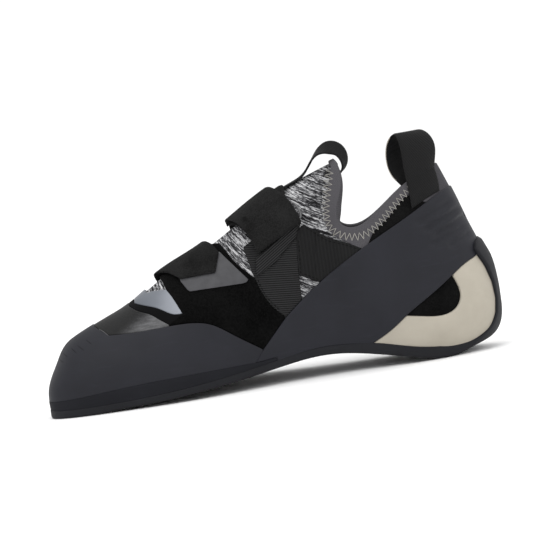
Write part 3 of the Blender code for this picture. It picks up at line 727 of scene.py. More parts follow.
def band_scale(pitch):
    """Scale of a wave texture whose bands lie a pitch apart."""
    return 2 * math.pi / 20 / (pitch * MM)


def knit_finish():
    """Heather yarn: long stripes along the rows, broken into dashes, over the loops of the knit."""
    f = Finish("heather_knit", 0.9, 0.08, sheen=0.02)
    uv = f.uv()
    stripe = f.noise(f.stretch(uv, (55, 950, 1)), 1.0, 2.0, 0.5)
    dash = f.noise(f.stretch(uv, (330, 1500, 1)), 1.0, 2.0, 0.5)
    fine = f.noise(f.stretch(uv, (1900, 2600, 1)), 1.0, 1.0, 0.5)
    yarn = f.math("ADD", f.mix(stripe, 0.5, dash, 0.34), f.math("MULTIPLY", fine, 0.16))
    loops = f.math("MULTIPLY", f.wave(f.stretch(uv, (520, 520, 1)), 1.0, 0.6, "X"),
                   f.wave(f.stretch(uv, (400, 400, 1)), 1.0, 1.2, "Y"))
    f.colour(f.ramp(yarn, (0.43, grey(0.01, 1.1)), (0.475, grey(0.05, 1.08)), (0.515, grey(0.2, 1.04)),
                    (0.575, grey(0.6, 1.02))))
    return f.bump(f.mix(loops, 0.6, fine, 0.4), 0.4)


def rubber_finish(name, value, blue, rough, grain, gloss):
    """Satin rubber: soft clouds, dust in the grain and a few rubbed streaks."""
    f = Finish(name, rough, gloss)
    place = f.place()
    cloud = f.noise(place, 28, 3)
    dust = f.noise(place, 420, 5, 0.7)
    rubbed = f.noise(f.stretch(place, (55, 55, 420)), 1.0, 4, 0.65)
    streak = f.math("MAXIMUM", f.math("SUBTRACT", rubbed, 0.58), 0.0)
    tone = f.math("ADD", f.mix(cloud, 0.7, dust, 0.3), f.math("MULTIPLY", streak, 1.3))
    f.colour(f.ramp(tone, *[(at, (value * k * 0.965, value * k, value * k * blue))
                            for at, k in ((0.3, 0.78), (0.7, 1.25), (1.0, 2.2))]))
    f.rough(dust, rough - 0.08, rough + 0.1)
    return f.bump(f.math("ADD", f.math("MULTIPLY", dust, 0.35), f.noise(place, 2400, 2)), grain)


def tan_finish():
    """Tan moulded rubber."""
    f = Finish("tan_rubber", 0.6, 0.2)
    place = f.place()
    cloud = f.noise(place, 40, 4)
    f.colour(f.ramp(cloud, (0.3, (0.345, 0.316, 0.262)), (0.7, (0.41, 0.377, 0.317))))
    return f.bump(f.noise(place, 1500, 3), 0.05)


def nap_finish(name, value, coarse, height, sheen):
    """Suede, fleece or lining: a nap of raised fibres."""
    f = Finish(name, 0.95, 0.04, sheen=sheen)
    place = f.place()
    nap = f.noise(place, coarse, 6, 0.7)
    cloud = f.noise(place, 60, 3)
    f.colour(f.ramp(f.mix(nap, 0.65, cloud, 0.35), (0.4, grey(value * 0.4)), (0.6, grey(value * 1.8))))
    return f.bump(nap, height)


def webbing_finish(name, value, pitch, direction, other, twill=0):
    """Woven ribs in one direction, crossed by finer yarn in the other, turned for a twill."""
    f = Finish(name, 0.7, 0.12)
    uv = f.uv()
    ribs = f.wave(uv, band_scale(pitch), 0.15, direction)
    cross = f.wave(f.stretch(uv, (1, 1, 1), twill), band_scale(pitch) * 1.9, 0.3, other)
    yarn = f.mix(ribs, 0.75, cross, 0.25)
    fuzz = f.noise(uv, 2600, 3)
    f.colour(f.ramp(f.mix(yarn, 0.75, fuzz, 0.25), (0.2, grey(value * 0.2)),
                    (0.85, grey(value * 2.8, 1.03))))
    return f.bump(yarn, 0.35)


def patch_finish():
    """Scaly grip texture, dark at the front, with a worn light wedge that widens downwards at the rear."""
    f = Finish("scaly_patch", 0.55, 0.2)
    place = f.place()
    cells = f.node("ShaderNodeTexVoronoi", {"Vector": f.stretch(place, (760, 760, 1500)), "Scale": 1.0},
                   feature="DISTANCE_TO_EDGE").outputs["Distance"]
    axes = f.axes(place)
    lean = f.math("SUBTRACT", axes["X"], f.math("MULTIPLY", axes["Z"], 1.6))
    rear = f.between(lean, -25, -10)
    scuff = f.noise(f.stretch(place, (160, 160, 900), 25), 1.0, 5, 0.7)
    light = f.math("MULTIPLY", f.math("MULTIPLY", rear, scuff), 1.5)
    tone = f.math("ADD", f.math("MULTIPLY", cells, 0.3), light)
    f.colour(f.ramp(tone, (0.03, grey(0.004, 1.05)), (0.25, grey(0.013, 1.05)), (1.0, grey(0.12, 1.04))))
    return f.bump(cells, 0.2)


def film_finish():
    """Light grey film that brightens to the rear."""
    f = Finish("grey_film", 0.42, 0.3)
    place = f.place()
    rear = f.between(f.axes(place)["X"], 54, 78)
    cloud = f.noise(place, 90, 3)
    f.colour(f.ramp(f.mix(rear, 0.8, cloud, 0.2), (0.05, (0.075, 0.084, 0.099)),
                    (0.5, (0.128, 0.14, 0.161)), (1.0, (0.28, 0.295, 0.33))))
    return f.bump(f.noise(place, 1800, 2), 0.04)


def binding_finish():
    """Soft grey edge, with painted shade that darkens it at the heel."""
    f = Finish("grey_binding", 0.85, 0.1, sheen=0.02)
    uv = f.uv()
    rows = f.wave(uv, band_scale(0.9), 0.5, "X")
    fuzz = f.noise(uv, 1800, 4)
    tone = f.mix(rows, 0.15, fuzz, 0.85)
    # painted shade: the edge's colour is darkened over the last stretch towards the heel
    painted_heel_shade = f.between(f.axes(f.place())["X"], 214, 222, 1.0, 0.55)
    f.colour(f.ramp(f.math("MULTIPLY", tone, painted_heel_shade), (0.15, (0.02, 0.02, 0.025)),
                    (0.3, (0.05, 0.048, 0.053)), (0.75, (0.083, 0.08, 0.087))))
    return f.bump(tone, 0.14)


def plain_finish(name, rgb, rough, gloss=0.25):
    """One colour with a faint cloud and a fine grain."""
    f = Finish(name, rough, gloss)
    place = f.place()
    cloud = f.noise(place, 200, 3)
    f.colour(f.ramp(cloud, (0.3, tuple(c * 0.85 for c in rgb)), (0.7, tuple(c * 1.15 for c in rgb))))
    return f.bump(f.noise(place, 1600, 2), 0.03)


KNIT = knit_finish()
RUBBER = rubber_finish("satin_rubber", 0.011, 1.4, 0.55, 0.035, 0.22)
GROUND = rubber_finish("ground_rubber", 0.0095, 1.3, 0.75, 0.08, 0.15)
TREAD = rubber_finish("sole_rubber", 0.0095, 1.25, 0.65, 0.05, 0.2)
TAN = tan_finish()
SUEDE = nap_finish("black_suede", 0.0085, 1500, 0.16, 0.02)
DARK_SUEDE = nap_finish("dark_suede", 0.0042, 1500, 0.16, 0.01)
FLEECE = nap_finish("loop_fleece", 0.0024, 900, 0.7, 0.006)
LINING = nap_finish("dark_lining", 0.012, 1400, 0.15, 0.02)
WEB_ACROSS = webbing_finish("webbing_level_ribs", 0.011, 1.15, "Y", "X")
WEB_UP = webbing_finish("webbing_upright_ribs", 0.0085, 0.75, "X", "Y")
GROSGRAIN = webbing_finish("grosgrain", 0.0072, 0.75, "Y", "X", twill=35)
SCALES = patch_finish()
FILM = film_finish()
BINDING = binding_finish()
GLOSS = plain_finish("dark_film", grey(0.0026, 1.1), 0.75, gloss=0.06)
TIP = plain_finish("grey_tip", grey(0.05, 1.08), 0.5)
RING = plain_finish("ring_plastic", grey(0.11, 1.03), 0.35)
THREAD = plain_finish("cream_thread", (0.265, 0.255, 0.235), 0.8)
# black for the real thread, and for the painted shade in the toe's pleats and in the straps' holes
BLACK_THREAD_AND_SHADE = plain_finish("black_thread_and_painted_shade", grey(0.0035), 0.8, gloss=0.08)
SEAM = plain_finish("pale_seam", grey(0.12, 1.05), 0.7)
CREAM = plain_finish("cream_edge", (0.5, 0.46, 0.39), 0.85)


# Upper: knitted outside, dark inside
def knit_rows(points):
    """Rows of the knit run back and down both sides, steeper towards the toe."""
    x = points[:, 0] - 135
    z = points[:, 2] - 90
    lean = np.radians(43 - 0.36 * np.clip(x, -60, 40))
    along = x * np.cos(lean) - z * np.sin(lean) + 0.7 * np.abs(points[:, 1])
    return np.stack((along, x * np.sin(lean) + z * np.cos(lean)), axis=1)


outer = skin(net_q, net_v, -pressed(net_base.reshape(-1, 3), (net_q <= BACK).astype(float), KNIT_FOLDS))
points, faces, knit_uv = weld(outer, net_faces, knit_rows(outer))
mesh("upper_knit", points, faces, KNIT, knit_uv, ["upper"])

THIN_TOE = 0.45
coarse_q, coarse_v = NET_Q[::2], NET_V[::3]
lining_q, lining_v = crossed(coarse_q, coarse_v)
at_toe = clip01(1 - np.minimum(lining_q, ROUND - lining_q) / 2)
thin = 1 - THIN_TOE * at_toe * clip01((lining_v - 0.6) / 0.4)
inner = skin(lining_q, lining_v, -WALL * thin)
lining_faces = grid_faces(len(coarse_q), len(coarse_v))
points, faces, lining_map = weld(inner, lining_faces, np.stack((lining_q * 10, lining_v * 80), axis=1))
mesh("upper_lining", points, faces, LINING, lining_map)

# Rubber over the toe, round the heel and along the ground
RUBBER_OUT = 2.1
BEVEL = 0.45
GROUND_LAYER = Layer(RUBBER_OUT - 0.1, RUBBER_OUT + 0.1, BEVEL)
RAND_LAYER = Layer(RUBBER_OUT - 0.25, RUBBER_OUT, BEVEL)
SLING_LAYER = Layer(RUBBER_OUT - 0.4, RUBBER_OUT + 0.3, 0.6)
INSERT_LAYER = Layer(RUBBER_OUT - 0.6, RUBBER_OUT, 0.7)
WINDOW_LAYER = Layer(0.3, 0.6, BEVEL)
RAND_CURVE = curve(RAND_TOP[2:])
BAND_CURVE = curve(BAND_TOP)
WINDOW_CURVE = curve(WINDOW)
FAR_TOE = (-9, 51)
ARCH = (126, 15.0)
BELOW = -4
TUCK = 3.0
band = BAND_CURVE + [ARCH, (ARCH[0], BELOW), (FAR_TOE[0], BELOW)]
panel("ground_band", band, GROUND_LAYER, GROUND, ["sole_band"])
rand = BAND_CURVE + SLING_FRONT[1:2] + RAND_CURVE[-2::-1] + RAND_TOP[1::-1] + [FAR_TOE]
panel("toe_rand_rubber", rand, RAND_LAYER, RUBBER, ["toe_rand"], creases=RAND_FOLDS)
sling = (SLING_FRONT + curve(SLING_TOP)[1:] + [(256, 93), (256, 58)] + curve(SLING_FOOT)[::-1]
         + [(179, 6), (ARCH[0], 6), ARCH])
panel("heel_sling_rubber", sling, SLING_LAYER, RUBBER, ["heel_sling"], creases=SLING_FOLDS)
insert = (curve(SLING_FOOT[:3])[:-1] + WINDOW_CURVE + curve(SLING_FOOT[4:])[1:] + [(247, 55.5)]
          + [(x + TUCK, z) for x, z in curve(STRIP_EDGE[8::-1])]
          + [(228, BELOW), (182.5, BELOW), (181.5, 12)])
panel("heel_insert_near", insert, INSERT_LAYER, TAN, ["heel_insert_inner"], side=NEAR)
panel("heel_insert_far", insert, INSERT_LAYER, TAN, ["heel_insert_outer"], side=FAR)
panel("heel_window", WINDOW_CURVE + [(224, 48), (194, 28)], WINDOW_LAYER, DARK_SUEDE)

# Thin panels of the front
THIN = 1.1
PATCH_LAYER = Layer(1.3, 1.7, BEVEL)
STRIP_LAYER = Layer(1.1, 1.5, BEVEL)
FILM_LAYER = Layer(1.0, 1.5, BEVEL)
FLEECE_LAYER = Layer(1.0, THIN + 0.7, 0.9)
LOW_CURVE = STRIP_LOW[:1] + curve(STRIP_LOW[1:])
HIGH_CURVE = STRIP_HIGH[:1] + curve(STRIP_HIGH[1:])
FRONT_CURVE = curve(FLEECE_FRONT)
WEB_CURVE = curve(WEB_FRONT)
scales = RAND_TOP[:2] + RAND_CURVE[:12] + LOW_CURVE[::-1] + [(49.5, 66), (26, 66)]
panel("toe_patch_scales", scales, PATCH_LAYER, SCALES, ["toe_patch"])
strip = LOW_CURVE + [RAND_TOP[4]] + HIGH_CURVE[::-1]
panel("vamp_strip_film", strip, STRIP_LAYER, GLOSS, ["vamp_strip"])
film = HIGH_CURVE + FRONT_CURVE[1:] + [(65, 60), (60.5, 59.2), (58, 66)]
panel("vamp_panel_film", film, FILM_LAYER, FILM, ["vamp_panel"])
fleece = (RAND_CURVE[20:] + SLING_FRONT[2:] + WEB_CURVE[1:]
          + [(112, 68), (104, 80), (80, 80), (66, 70), (70, 64.5)] + FRONT_CURVE[::-1])
panel("loop_fleece_patch", fleece, FLEECE_LAYER, FLEECE, ["loop_patch"], side=NEAR,
      creases=FLEECE_FOLDS)

# Webbing of the near side: an arm with level ribs and one with upright ribs
ARM_LAYER = Layer(0.8, 1.3, BEVEL)
REAR_ARM_LAYER = Layer(0.9, 1.5, BEVEL)
FOLD_LAYER = Layer(THIN + 0.6, THIN + 1.7, 0.9)
COLLAR_LAYER = Layer(0.8, THIN, BEVEL)
KNIT_WINDOW = [(144.3, 57), (154.8, 51.3)]
arm = (SLING_TOP[:2] + KNIT_WINDOW[:1] + [(146, 78), (150, 85), (146, 92), (116.5, 76)] + WEB_CURVE[:0:-1])
panel("webbing_arm", arm, ARM_LAYER, WEB_ACROSS, ["side_webbing"], side=NEAR, turn=-6)
rear_arm = KNIT_WINDOW + SLING_TOP[3:4] + [(178.8, 67.4), (171, 71), (164, 73.6), (157.5, 78.2),
                                           (151, 83.5), (146, 80)]
panel("webbing_rear_arm", rear_arm, REAR_ARM_LAYER, WEB_UP, side=NEAR, turn=-12)
fold = [(122.3, 69.5), (149.5, 86.5), (146, 77.5), (133, 66), (121.5, 59.5)]
panel("webbing_fold", fold, FOLD_LAYER, WEB_ACROSS, ["ring_webbing"], side=NEAR, turn=33,
      crown=0.5)
corner = [(183, 66.0), (219, 82.0), (217, 86)] + curve(BIND_LINE[11:6:-1])
panel("collar_side_panel", corner, COLLAR_LAYER, DARK_SUEDE, ["collar_panel"], side=NEAR)

# Folded edge of the collar: outside, over the rim and down inside
BIND_OUT = 1.5
BIND_IN = 0.9
BIND_DOWN = 9.0
BIND_RISE = 0.9
BIND_LAYER = Layer(GAP, BIND_OUT, 0.7)
UV_START = 100
UV_STEP = 1.2


def wall_size(q, share):
    """Length of the whole wall, judged by its top share."""
    return np.linalg.norm(base(q, 1) - base(q, 1 - share), axis=1) / share


fold = BIND_LINE[:1] + curve(BIND_LINE[1:]) + [(250, 130), (160, 130)]
points, faces, maps = patch(fold, BIND_LAYER)
uv = maps_uv(maps)
rim_q = NET_Q[THROAT_STOP:len(NET_Q) - THROAT_STOP]
count = len(rim_q)
rim_top = base(rim_q, 1)
rim_out = unit(skin(rim_q, 1, 1) - rim_top)
rim_up = unit(rim_top - base(rim_q, 0.97))
rim_size = wall_size(rim_q, 0.1)
middle = (BIND_OUT - WALL - BIND_IN) / 2
half = BIND_OUT - middle
rings = [rim_top + rim_out * (middle + half * math.cos(a)) + rim_up * BIND_RISE * math.sin(a)
         for a in np.linspace(0, math.pi, 9)]
for down in np.linspace(1, BIND_DOWN, 7):
    lift = -WALL - BIND_IN * (1 if down < BIND_DOWN else 0)
    rings.append(skin(rim_q, 1 - down / rim_size, lift))
start = len(points)
points = np.concatenate([points] + rings)
rim_way = np.interp(rim_q, AROUND_Q, AROUND_WAY)
ring_uv = [np.stack((rim_way, np.full(count, UV_START + UV_STEP * k)), axis=1) for k in range(len(rings))]
uv = np.concatenate([uv] + ring_uv)
faces = np.concatenate((faces, grid_faces(len(rings), count, start)))
points, faces, uv = weld(points, faces, uv)
mesh("collar_binding_fold", points, faces, BINDING, uv, ["collar_binding"])

# Cream zigzag through the folded edge
ZIGZAG = [(170.2, 109.5), (168.6, 104), (166, 95), (164.3, 86), (165.2, 80), (168.8, 75.6),
          (175, 73), (181, 72.8), (187.5, 75.4), (196, 82), (206, 90.5), (213, 95.6)]
ZIG_PITCH = 1.42
ZIG_HALF = 2.0
ZIG_ARCH = 0.2
ZIG_THICK = 0.22
FINE_STEP = 0.5


def zigzag(side):
    """Stitch points either side of the line, each thread a little arched."""
    line = curve(ZIGZAG, FINE_STEP)
    t = np.arange(1, ways(line)[-1] - 1, ZIG_PITCH)
    mid = on_line(line, t)
    ahead = unit(np.gradient(mid, axis=0))
    across = np.stack((-ahead[:, 1], ahead[:, 0]), axis=1)
    ends = mid + across * (ZIG_HALF * np.where(np.arange(len(t)) % 2, 1, -1))[:, None]
    t = np.linspace(0, 1, 5)
    flat = (ends[:-1, None] + (ends[1:] - ends[:-1])[:, None] * t[:, None]).reshape(-1, 2)
    r, v = locate(flat, side).T
    arch = np.tile(BIND_OUT + ZIG_ARCH * np.sin(math.pi * t), len(ends) - 1)
    return skin(side * r, v, arch).reshape(-1, len(t), 3)


tubes("collar_stitches", np.concatenate((zigzag(1), zigzag(-1))), ZIG_THICK, THREAD)

# Insole and outsole
SOLE_OUT = 2.4
HEEL_OUT = 4.2
HEEL_LOW_OUT = 2.9
CORNER = 1.4
EDGE_ROUND = 1.2
STRIP_FORE = 13.6
STRIP_START = 0.07
STRIP_TOP = 0.665
STRIP_ROUND = 0.45
CALM = 40
INSOLE_IN = -3.2
INSOLE_UP = (0.2, 2.2)
EDGE_DIP = spline((-6, 20, 100, 150, 180, 195, 205, 215, 230),
                  (0.1, 0.1, 0.1, 0.3, 0.4, 0.2, -0.3, -1.2, -1.2))
INSETS = np.array((0.0, 0.12, 0.4, 0.8, EDGE_ROUND))
COLUMNS = 36


def rim(q, margin):
    """Plan points on the edge above the sole, moved out by a margin."""
    q = np.asarray(q, float) % ROUND
    return feather(q) + outward(q)[..., :2] * np.asarray(margin)[..., None]


def bed_row(r, margin, bow, middle):
    """Plan row across the foot bed: fine steps at both edges, bowed round the toe or heel."""
    ends = rim(np.array((r, -r)), np.array((margin, margin)))
    wide = max(np.linalg.norm(ends[1] - ends[0]), 4 * EDGE_ROUND)
    fine = INSETS / wide
    t = np.concatenate((fine, np.linspace(fine[-1], 1 - fine[-1], COLUMNS)[1:-1], 1 - fine[::-1]))
    chord = ends[0] + (ends[1] - ends[0]) * t[:, None]
    arc = rim(middle + (r - middle) * (1 - 2 * t), 0 * t + margin)
    return chord + (arc - chord) * bow, t * wide


def strip_edge(v, lift):
    """Sections where the heel strip ends, at heights up the heel and above the skin."""
    line = np.array(STRIP_EDGE)
    low = np.full(len(v), STRIP_FORE)
    high = np.full(len(v), float(BACK))
    for _ in range(24):
        mid = (low + high) / 2
        p = skin(mid, v, lift)
        front = p[:, 0] < np.interp(p[:, 2], line[:, 1], line[:, 0]) + 2 * GAP
        low = np.where(front, mid, low)
        high = np.where(front, high, mid)
    return high


def edge_profile(inset):
    """How far a rounded corner stands back at a distance from the edge."""
    return 1 - np.sqrt(1 - (1 - clip01(inset / EDGE_ROUND)) ** 2)


def calm(grid, first, last, passes):
    """Smooths a grid from row to row between two of them, most in the middle."""
    share = np.zeros((len(grid), 1, 1))
    share[first:last, 0, 0] = np.sin(np.linspace(0, math.pi, last - first))
    for _ in range(passes):
        soft = grid.copy()
        soft[1:-1] = (grid[:-2] + 2 * grid[1:-1] + grid[2:]) / 4
        grid = grid + (soft - grid) * share
    return grid


TOE_ROW = 0.6
TOE_BLEND = 0.9
TOE_TURN = 4.0
FAR_IN = 99.0
HEEL_ROW = 12.3
HEEL_BLEND = 1.5
heel_start = float(strip_edge(np.zeros(1), 2 * GAP)[0])
top_rows, low_rows = [], []
along = np.concatenate((np.linspace(TOE_ROW, 1.5, 14)[1:], np.linspace(1.5, 9, 70)[1:],
                        np.linspace(9, heel_start - 0.35, 60)[1:]))
stations = [(TOE_ROW, inset) for inset in INSETS] + [(r, FAR_IN) for r in along]
for r, inset in stations:
    bow = float(clip01((TOE_ROW + TOE_BLEND - r) / TOE_BLEND))
    heel = float(ease((r - HEEL_ROW) / HEEL_BLEND))
    for rows, wider in ((top_rows, HEEL_OUT - SOLE_OUT), (low_rows, HEEL_LOW_OUT - SOLE_OUT)):
        margin = SOLE_OUT + wider * heel
        row, place = bed_row(r, margin, bow, 0)
        side = np.minimum(place, place[-1] - place)
        drawn = bed_row(r, margin - min(inset, EDGE_ROUND) * bow, bow, 0)[0]
        row = row + (drawn - row) * ease(side / TOE_TURN)[:, None]
        edge = np.minimum(side, inset)
        x = row[:, 0]
        if rows is top_rows:
            z = sole_top(x) - GAP - EDGE_DIP(x) * clip01(1 - edge / EDGE_ROUND)
        else:
            z = under(x) + CORNER * edge_profile(edge)
        rows.append(np.column_stack((row, z)))

Rise = namedtuple("Rise", "v inner outer")
STRIP_RISES = [Rise(0, 2.3, 3.9), Rise(0.38, 2.3, 3.6), Rise(0.47, 2.3, 4.1), Rise(0.55, 2.3, 4.6),
               Rise(0.585, 2.6, 4.8), Rise(STRIP_TOP, 2.6, 4.1)]
across = 2 * place / place[-1] - 1
strip_v = np.concatenate((np.linspace(STRIP_START, 0.55, 40), np.linspace(0.56, STRIP_TOP, 26)))
levels, inner_rises, outer_rises = zip(*STRIP_RISES)
rise_in, rise_out = np.interp(strip_v, levels, inner_rises), np.interp(strip_v, levels, outer_rises)
strip_half = np.maximum(BACK - strip_edge(strip_v, rise_in), 0.04)
strip_side = skin(BACK - strip_half, strip_v, rise_out)
strip_wide = np.linalg.norm(strip_side - skin(np.full(len(strip_v), BACK), strip_v, rise_out), axis=1)
strip_q = BACK + strip_half[:, None] * across
strip_edges = (1 - np.abs(across)) * strip_wide[:, None]
thick = (rise_out - rise_in) * clip01((STRIP_TOP - strip_v) / 0.015) ** 0.5
strip_in = skin(strip_q, strip_v[:, None], rise_in[:, None])
rounded = 1 - STRIP_ROUND * edge_profile(strip_edges)
strip_out = skin(strip_q, strip_v[:, None], rise_in[:, None] + thick[:, None] * rounded)
blend = np.linspace(0, 1, 14)[1:-1, None, None]
first, last = len(top_rows) - 24, len(top_rows) + len(blend) + 18
tops = np.concatenate((top_rows, top_rows[-1] + (strip_in[0] - top_rows[-1]) * blend, strip_in))
lows = np.concatenate((low_rows, low_rows[-1] + (strip_out[0] - low_rows[-1]) * blend, strip_out))
points, faces = plate(calm(lows, first, last, CALM), calm(tops, first, last, CALM))
mesh("outsole_rubber", points, faces, TREAD, points[:, :2], ["outsole"], smooth=40)

bed = []
for r in np.linspace(0.35, 14.7, 90):
    bow_toe = float(clip01((1.5 - r) / 1.1))
    bow_heel = float(clip01((r - 14.0) / 0.7))
    bed.append(bed_row(r, INSOLE_IN, max(bow_toe, bow_heel), 0 if r < 7 else BACK)[0])
bed = np.array(bed)
bed_z = sole_top(bed[..., 0])[..., None]
points, faces = plate(*[np.concatenate((bed, bed_z + up), axis=-1) for up in INSOLE_UP])
mesh("insole_board", points, faces, LINING, points[:, :2], ["insole"])

# Front strap and its grey tip
STRAP = 1.4
ACROSS = 34
far_front, far_rear = over([(74, 44), (103, 46)], -1)
ridge_front, ridge_rear = on_ridge([(67.5, 66), (97.2, 77.6)])
end_row = over(along_line([(76, 66.3), (81, 62), (100.2, 63.3), (104, 73)], ACROSS))
span = np.linspace(0, 1, ACROSS)[:, None]
top_row = ridge_front + (ridge_rear - ridge_front) * span
far_row = far_front + (far_rear - far_front) * span
HIGH_STRAP = 4.0
STRAP_SINK = 0.5
TIP_LIFT = 2.35
TIP_THICK = 0.9
LOW_STRAP = THIN + GAP + STRAP / 2
grid = [above(far_row + (top_row - far_row) * t, LOW_STRAP + (HIGH_STRAP - LOW_STRAP) * t ** 2)
        for t in np.linspace(0, 1, 44)[:-1]]
grid += [above(top_row + (end_row - top_row) * t, HIGH_STRAP - STRAP_SINK * t)
         for t in np.linspace(0, 1, 26)]
ribbon("front_strap_suede", grid, STRAP, SUEDE, ["front_strap"])

tip_hidden = over(along_line([(80, 65), (88, 68), (98, 71), (101, 74.5)], ACROSS))
tip_end = over(along_line([(81, 61.5), (84.5, 56), (115, 56.6), (116.8, 58.2), (104.5, 73.4)], ACROSS))
grid = [above(tip_hidden + (tip_end - tip_hidden) * t, TIP_LIFT) for t in np.linspace(0, 1, 16)]
ribbon("front_strap_tip_film", grid, TIP_THICK, TIP, ["front_strap_tip"], soft=0.25)

# Rear strap: up from the outer side, over the ridge, round the ring and back
REAR_LOW = 2.2
REAR_HIGH = 5.6
REAR_THICK = 1.2
REAR_END = 0.22
FLARE = 0.22
FLARE_REACH = 0.55
far_a, far_b = over([(113, 52), (143, 64)], -1)
top_a, top_b = on_ridge([(111.6, 85.8), (135.6, 106)])
near_a, near_b = over([(123.6, 72.6), (149.2, 85.6)])
reach = np.linalg.norm(above((near_a + near_b) / 2, 0) - above((top_a + top_b) / 2, 0))


def rear(s, j, lift):
    """Place on the rear strap: s from -1 at the ring to 1 at the outer side, j across it."""
    s, j, lift = np.broadcast_arrays(s, j, lift)
    j = j[..., None]
    top = top_a + (top_b - top_a) * j
    side = np.where(s[..., None] < 0, near_a + (near_b - near_a) * j, far_a + (far_b - far_a) * j)
    return above(top + (side - top) * np.abs(s)[..., None], lift)


BEND = (REAR_HIGH - REAR_LOW) / 2
SINK = REAR_LOW - GAP - REAR_THICK / 2
path = [(s, REAR_LOW - SINK * max(s, 0), FLARE * ease(1 - abs(s) / FLARE_REACH))
        for s in np.linspace(1, -1, 60)]
path += [(-1 - BEND * math.sin(a) / reach, (REAR_LOW + REAR_HIGH) / 2 - BEND * math.cos(a), 0)
         for a in np.linspace(0, math.pi, 13)[1:-1]]
path += [(s, REAR_HIGH, 0) for s in np.linspace(-1, REAR_END, 26)]
j = np.linspace(0, 1, 30)
grid = [rear(s, j * (1 + wider), lift) for s, lift, wider in path]
ribbon("rear_strap_suede", grid, REAR_THICK, SUEDE, ["rear_strap"])

# Ring in the fold of the rear strap
WIRE = 0.6
RING_HIGH = 7.8
wide = np.linalg.norm(rear(-1, 1, 0) - rear(-1, 0, 0))
tall = RING_HIGH / reach
past_front = -1.0 / wide
past_rear = 1.7 / wide
turns = np.radians(np.linspace(-90, 90, 13))
bends = [(-1 + tall / 2 + math.sin(a) * tall / 2, 0.3 + 0.7 * math.cos(a)) for a in turns]
track = [(-1, t) for t in np.linspace(0.05, 0.95, 16)]
track += [(s, 1 + bulge * past_rear) for s, bulge in bends]
track += [(-1 + tall, t) for t in np.linspace(0.95, 0.05, 16)]
track += [(s, -bulge * past_front) for s, bulge in bends[::-1]]
track = np.array(track)
mid_high = (REAR_LOW + REAR_HIGH) / 2
wire_mid = rear(track[:, 0], track[:, 1], mid_high)
wire_up = rear(track[:, 0], track[:, 1], mid_high + 1) - wire_mid
wire_side = unit(np.cross(np.roll(wire_mid, -1, axis=0) - np.roll(wire_mid, 1, axis=0), wire_up))
angles = np.linspace(0, 2 * math.pi, 12, endpoint=False)
points = np.concatenate([wire_mid + (wire_up * math.cos(a) + wire_side * math.sin(a)) * WIRE
                         for a in angles])
k, i = crossed(np.arange(len(angles)), np.arange(len(track)))
here, after = k * len(track), (k + 1) % len(angles) * len(track)
ahead = (i + 1) % len(track)
faces = quads(here + i, here + ahead, after + ahead, after + i)
mesh("strap_ring_wire", points, faces, RING, points[:, :2], ["strap_ring"], smooth=80)

# Heel pull loop: up the outside of the collar, over and down inside it
Fold = namedtuple("Fold", "out rise fore spread")
HEEL_FOLDS = [Fold(1.3, -14, 0, -2.4), Fold(2.2, -7, 0, -1), Fold(2.5, 0, 0, 0), Fold(3.3, 8, 0, 2),
              Fold(3.2, 15, 0, 2), Fold(0.3, 20.8, -0.5, 1), Fold(-4.5, 22, -1.2, 0),
              Fold(-8.4, 18.6, -3.2, 0), Fold(-9.4, 11.5, -4.6, 0), Fold(-6.8, 4, -3.6, 0),
              Fold(-3.6, -2, 0, 0), Fold(-3.2, -9, 0, 0)]
WEBBING = 1.2
HEEL_TALL = 123.5
HEEL_RISE = 22
HEEL_FRONT = 13.42
HEEL_WIDE = 0.98
heel_fold = spline(range(len(HEEL_FOLDS)), HEEL_FOLDS)
wide = np.linspace(0, 1, 22)
loop_q = HEEL_FRONT + HEEL_WIDE * wide
loop_edge = base(loop_q, 1)
loop_size = wall_size(loop_q, 0.15)
loop_push = unit(normal(loop_q, 1) * (1, 1, 0))


def heel_row(t):
    """Points across the heel loop at one place along it."""
    out, rise, fore, spread = heel_fold(t)
    if rise <= 0:
        return skin(loop_q + spread * wide * HEEL_WIDE / 20, 1 + rise / loop_size, out)
    moved = loop_edge + loop_push * out + UP * (rise * (HEEL_TALL - loop_edge[:, 2]) / HEEL_RISE)[:, None]
    moved[:, 0] += fore + spread * (wide - 0.5)
    return moved


grid = [heel_row(t) for t in np.linspace(0, len(HEEL_FOLDS) - 1, 90)]
ribbon("heel_loop_webbing", grid, WEBBING, GROSGRAIN, ["heel_loop"])
cut_edge = [[heel_row(t + step)[0] for step in (0, 0.02, 0.04)] for t in np.arange(6.5, 9.3, 0.065)]
tubes("heel_loop_cream_edge", cut_edge, 0.42, CREAM)

# Tongue pull loop: flat on the ridge, up, over with a twist and down inside the tongue
Turn = namedtuple("Turn", "x z twist")
TONGUE_TURNS = [Turn(141, 102.5, 0), Turn(148, 105.3, 0), Turn(154.5, 108.6, 0), Turn(159.6, 114.6, -3),
                Turn(164.4, 119.6, 10), Turn(170.5, 121.5, 42), Turn(175.8, 119.6, 42),
                Turn(178.2, 115, 30), Turn(177.8, 110.2, 12), Turn(174.8, 106.9, 0), Turn(170, 105.2, 0)]
TONGUE_WIDE = 10
TONGUE_MID = -1
turn_at = spline(range(len(TONGUE_TURNS)), TONGUE_TURNS)
j = np.linspace(-0.5, 0.5, 16) * TONGUE_WIDE
grid = []
for t in np.linspace(0, len(TONGUE_TURNS) - 1, 90):
    x, z, twist = turn_at(t)
    ahead = turn_at(t + 0.05) - turn_at(t - 0.05)
    outer_x, outer_z = np.array((-ahead[1], ahead[0])) / math.hypot(ahead[0], ahead[1])
    flat, tall = math.cos(math.radians(twist)), math.sin(math.radians(twist))
    grid.append(np.stack((x + outer_x * j * tall, TONGUE_MID + j * flat, z + outer_z * j * tall), axis=1))
ribbon("tongue_loop_webbing", grid, WEBBING, GROSGRAIN, ["tongue_loop"])


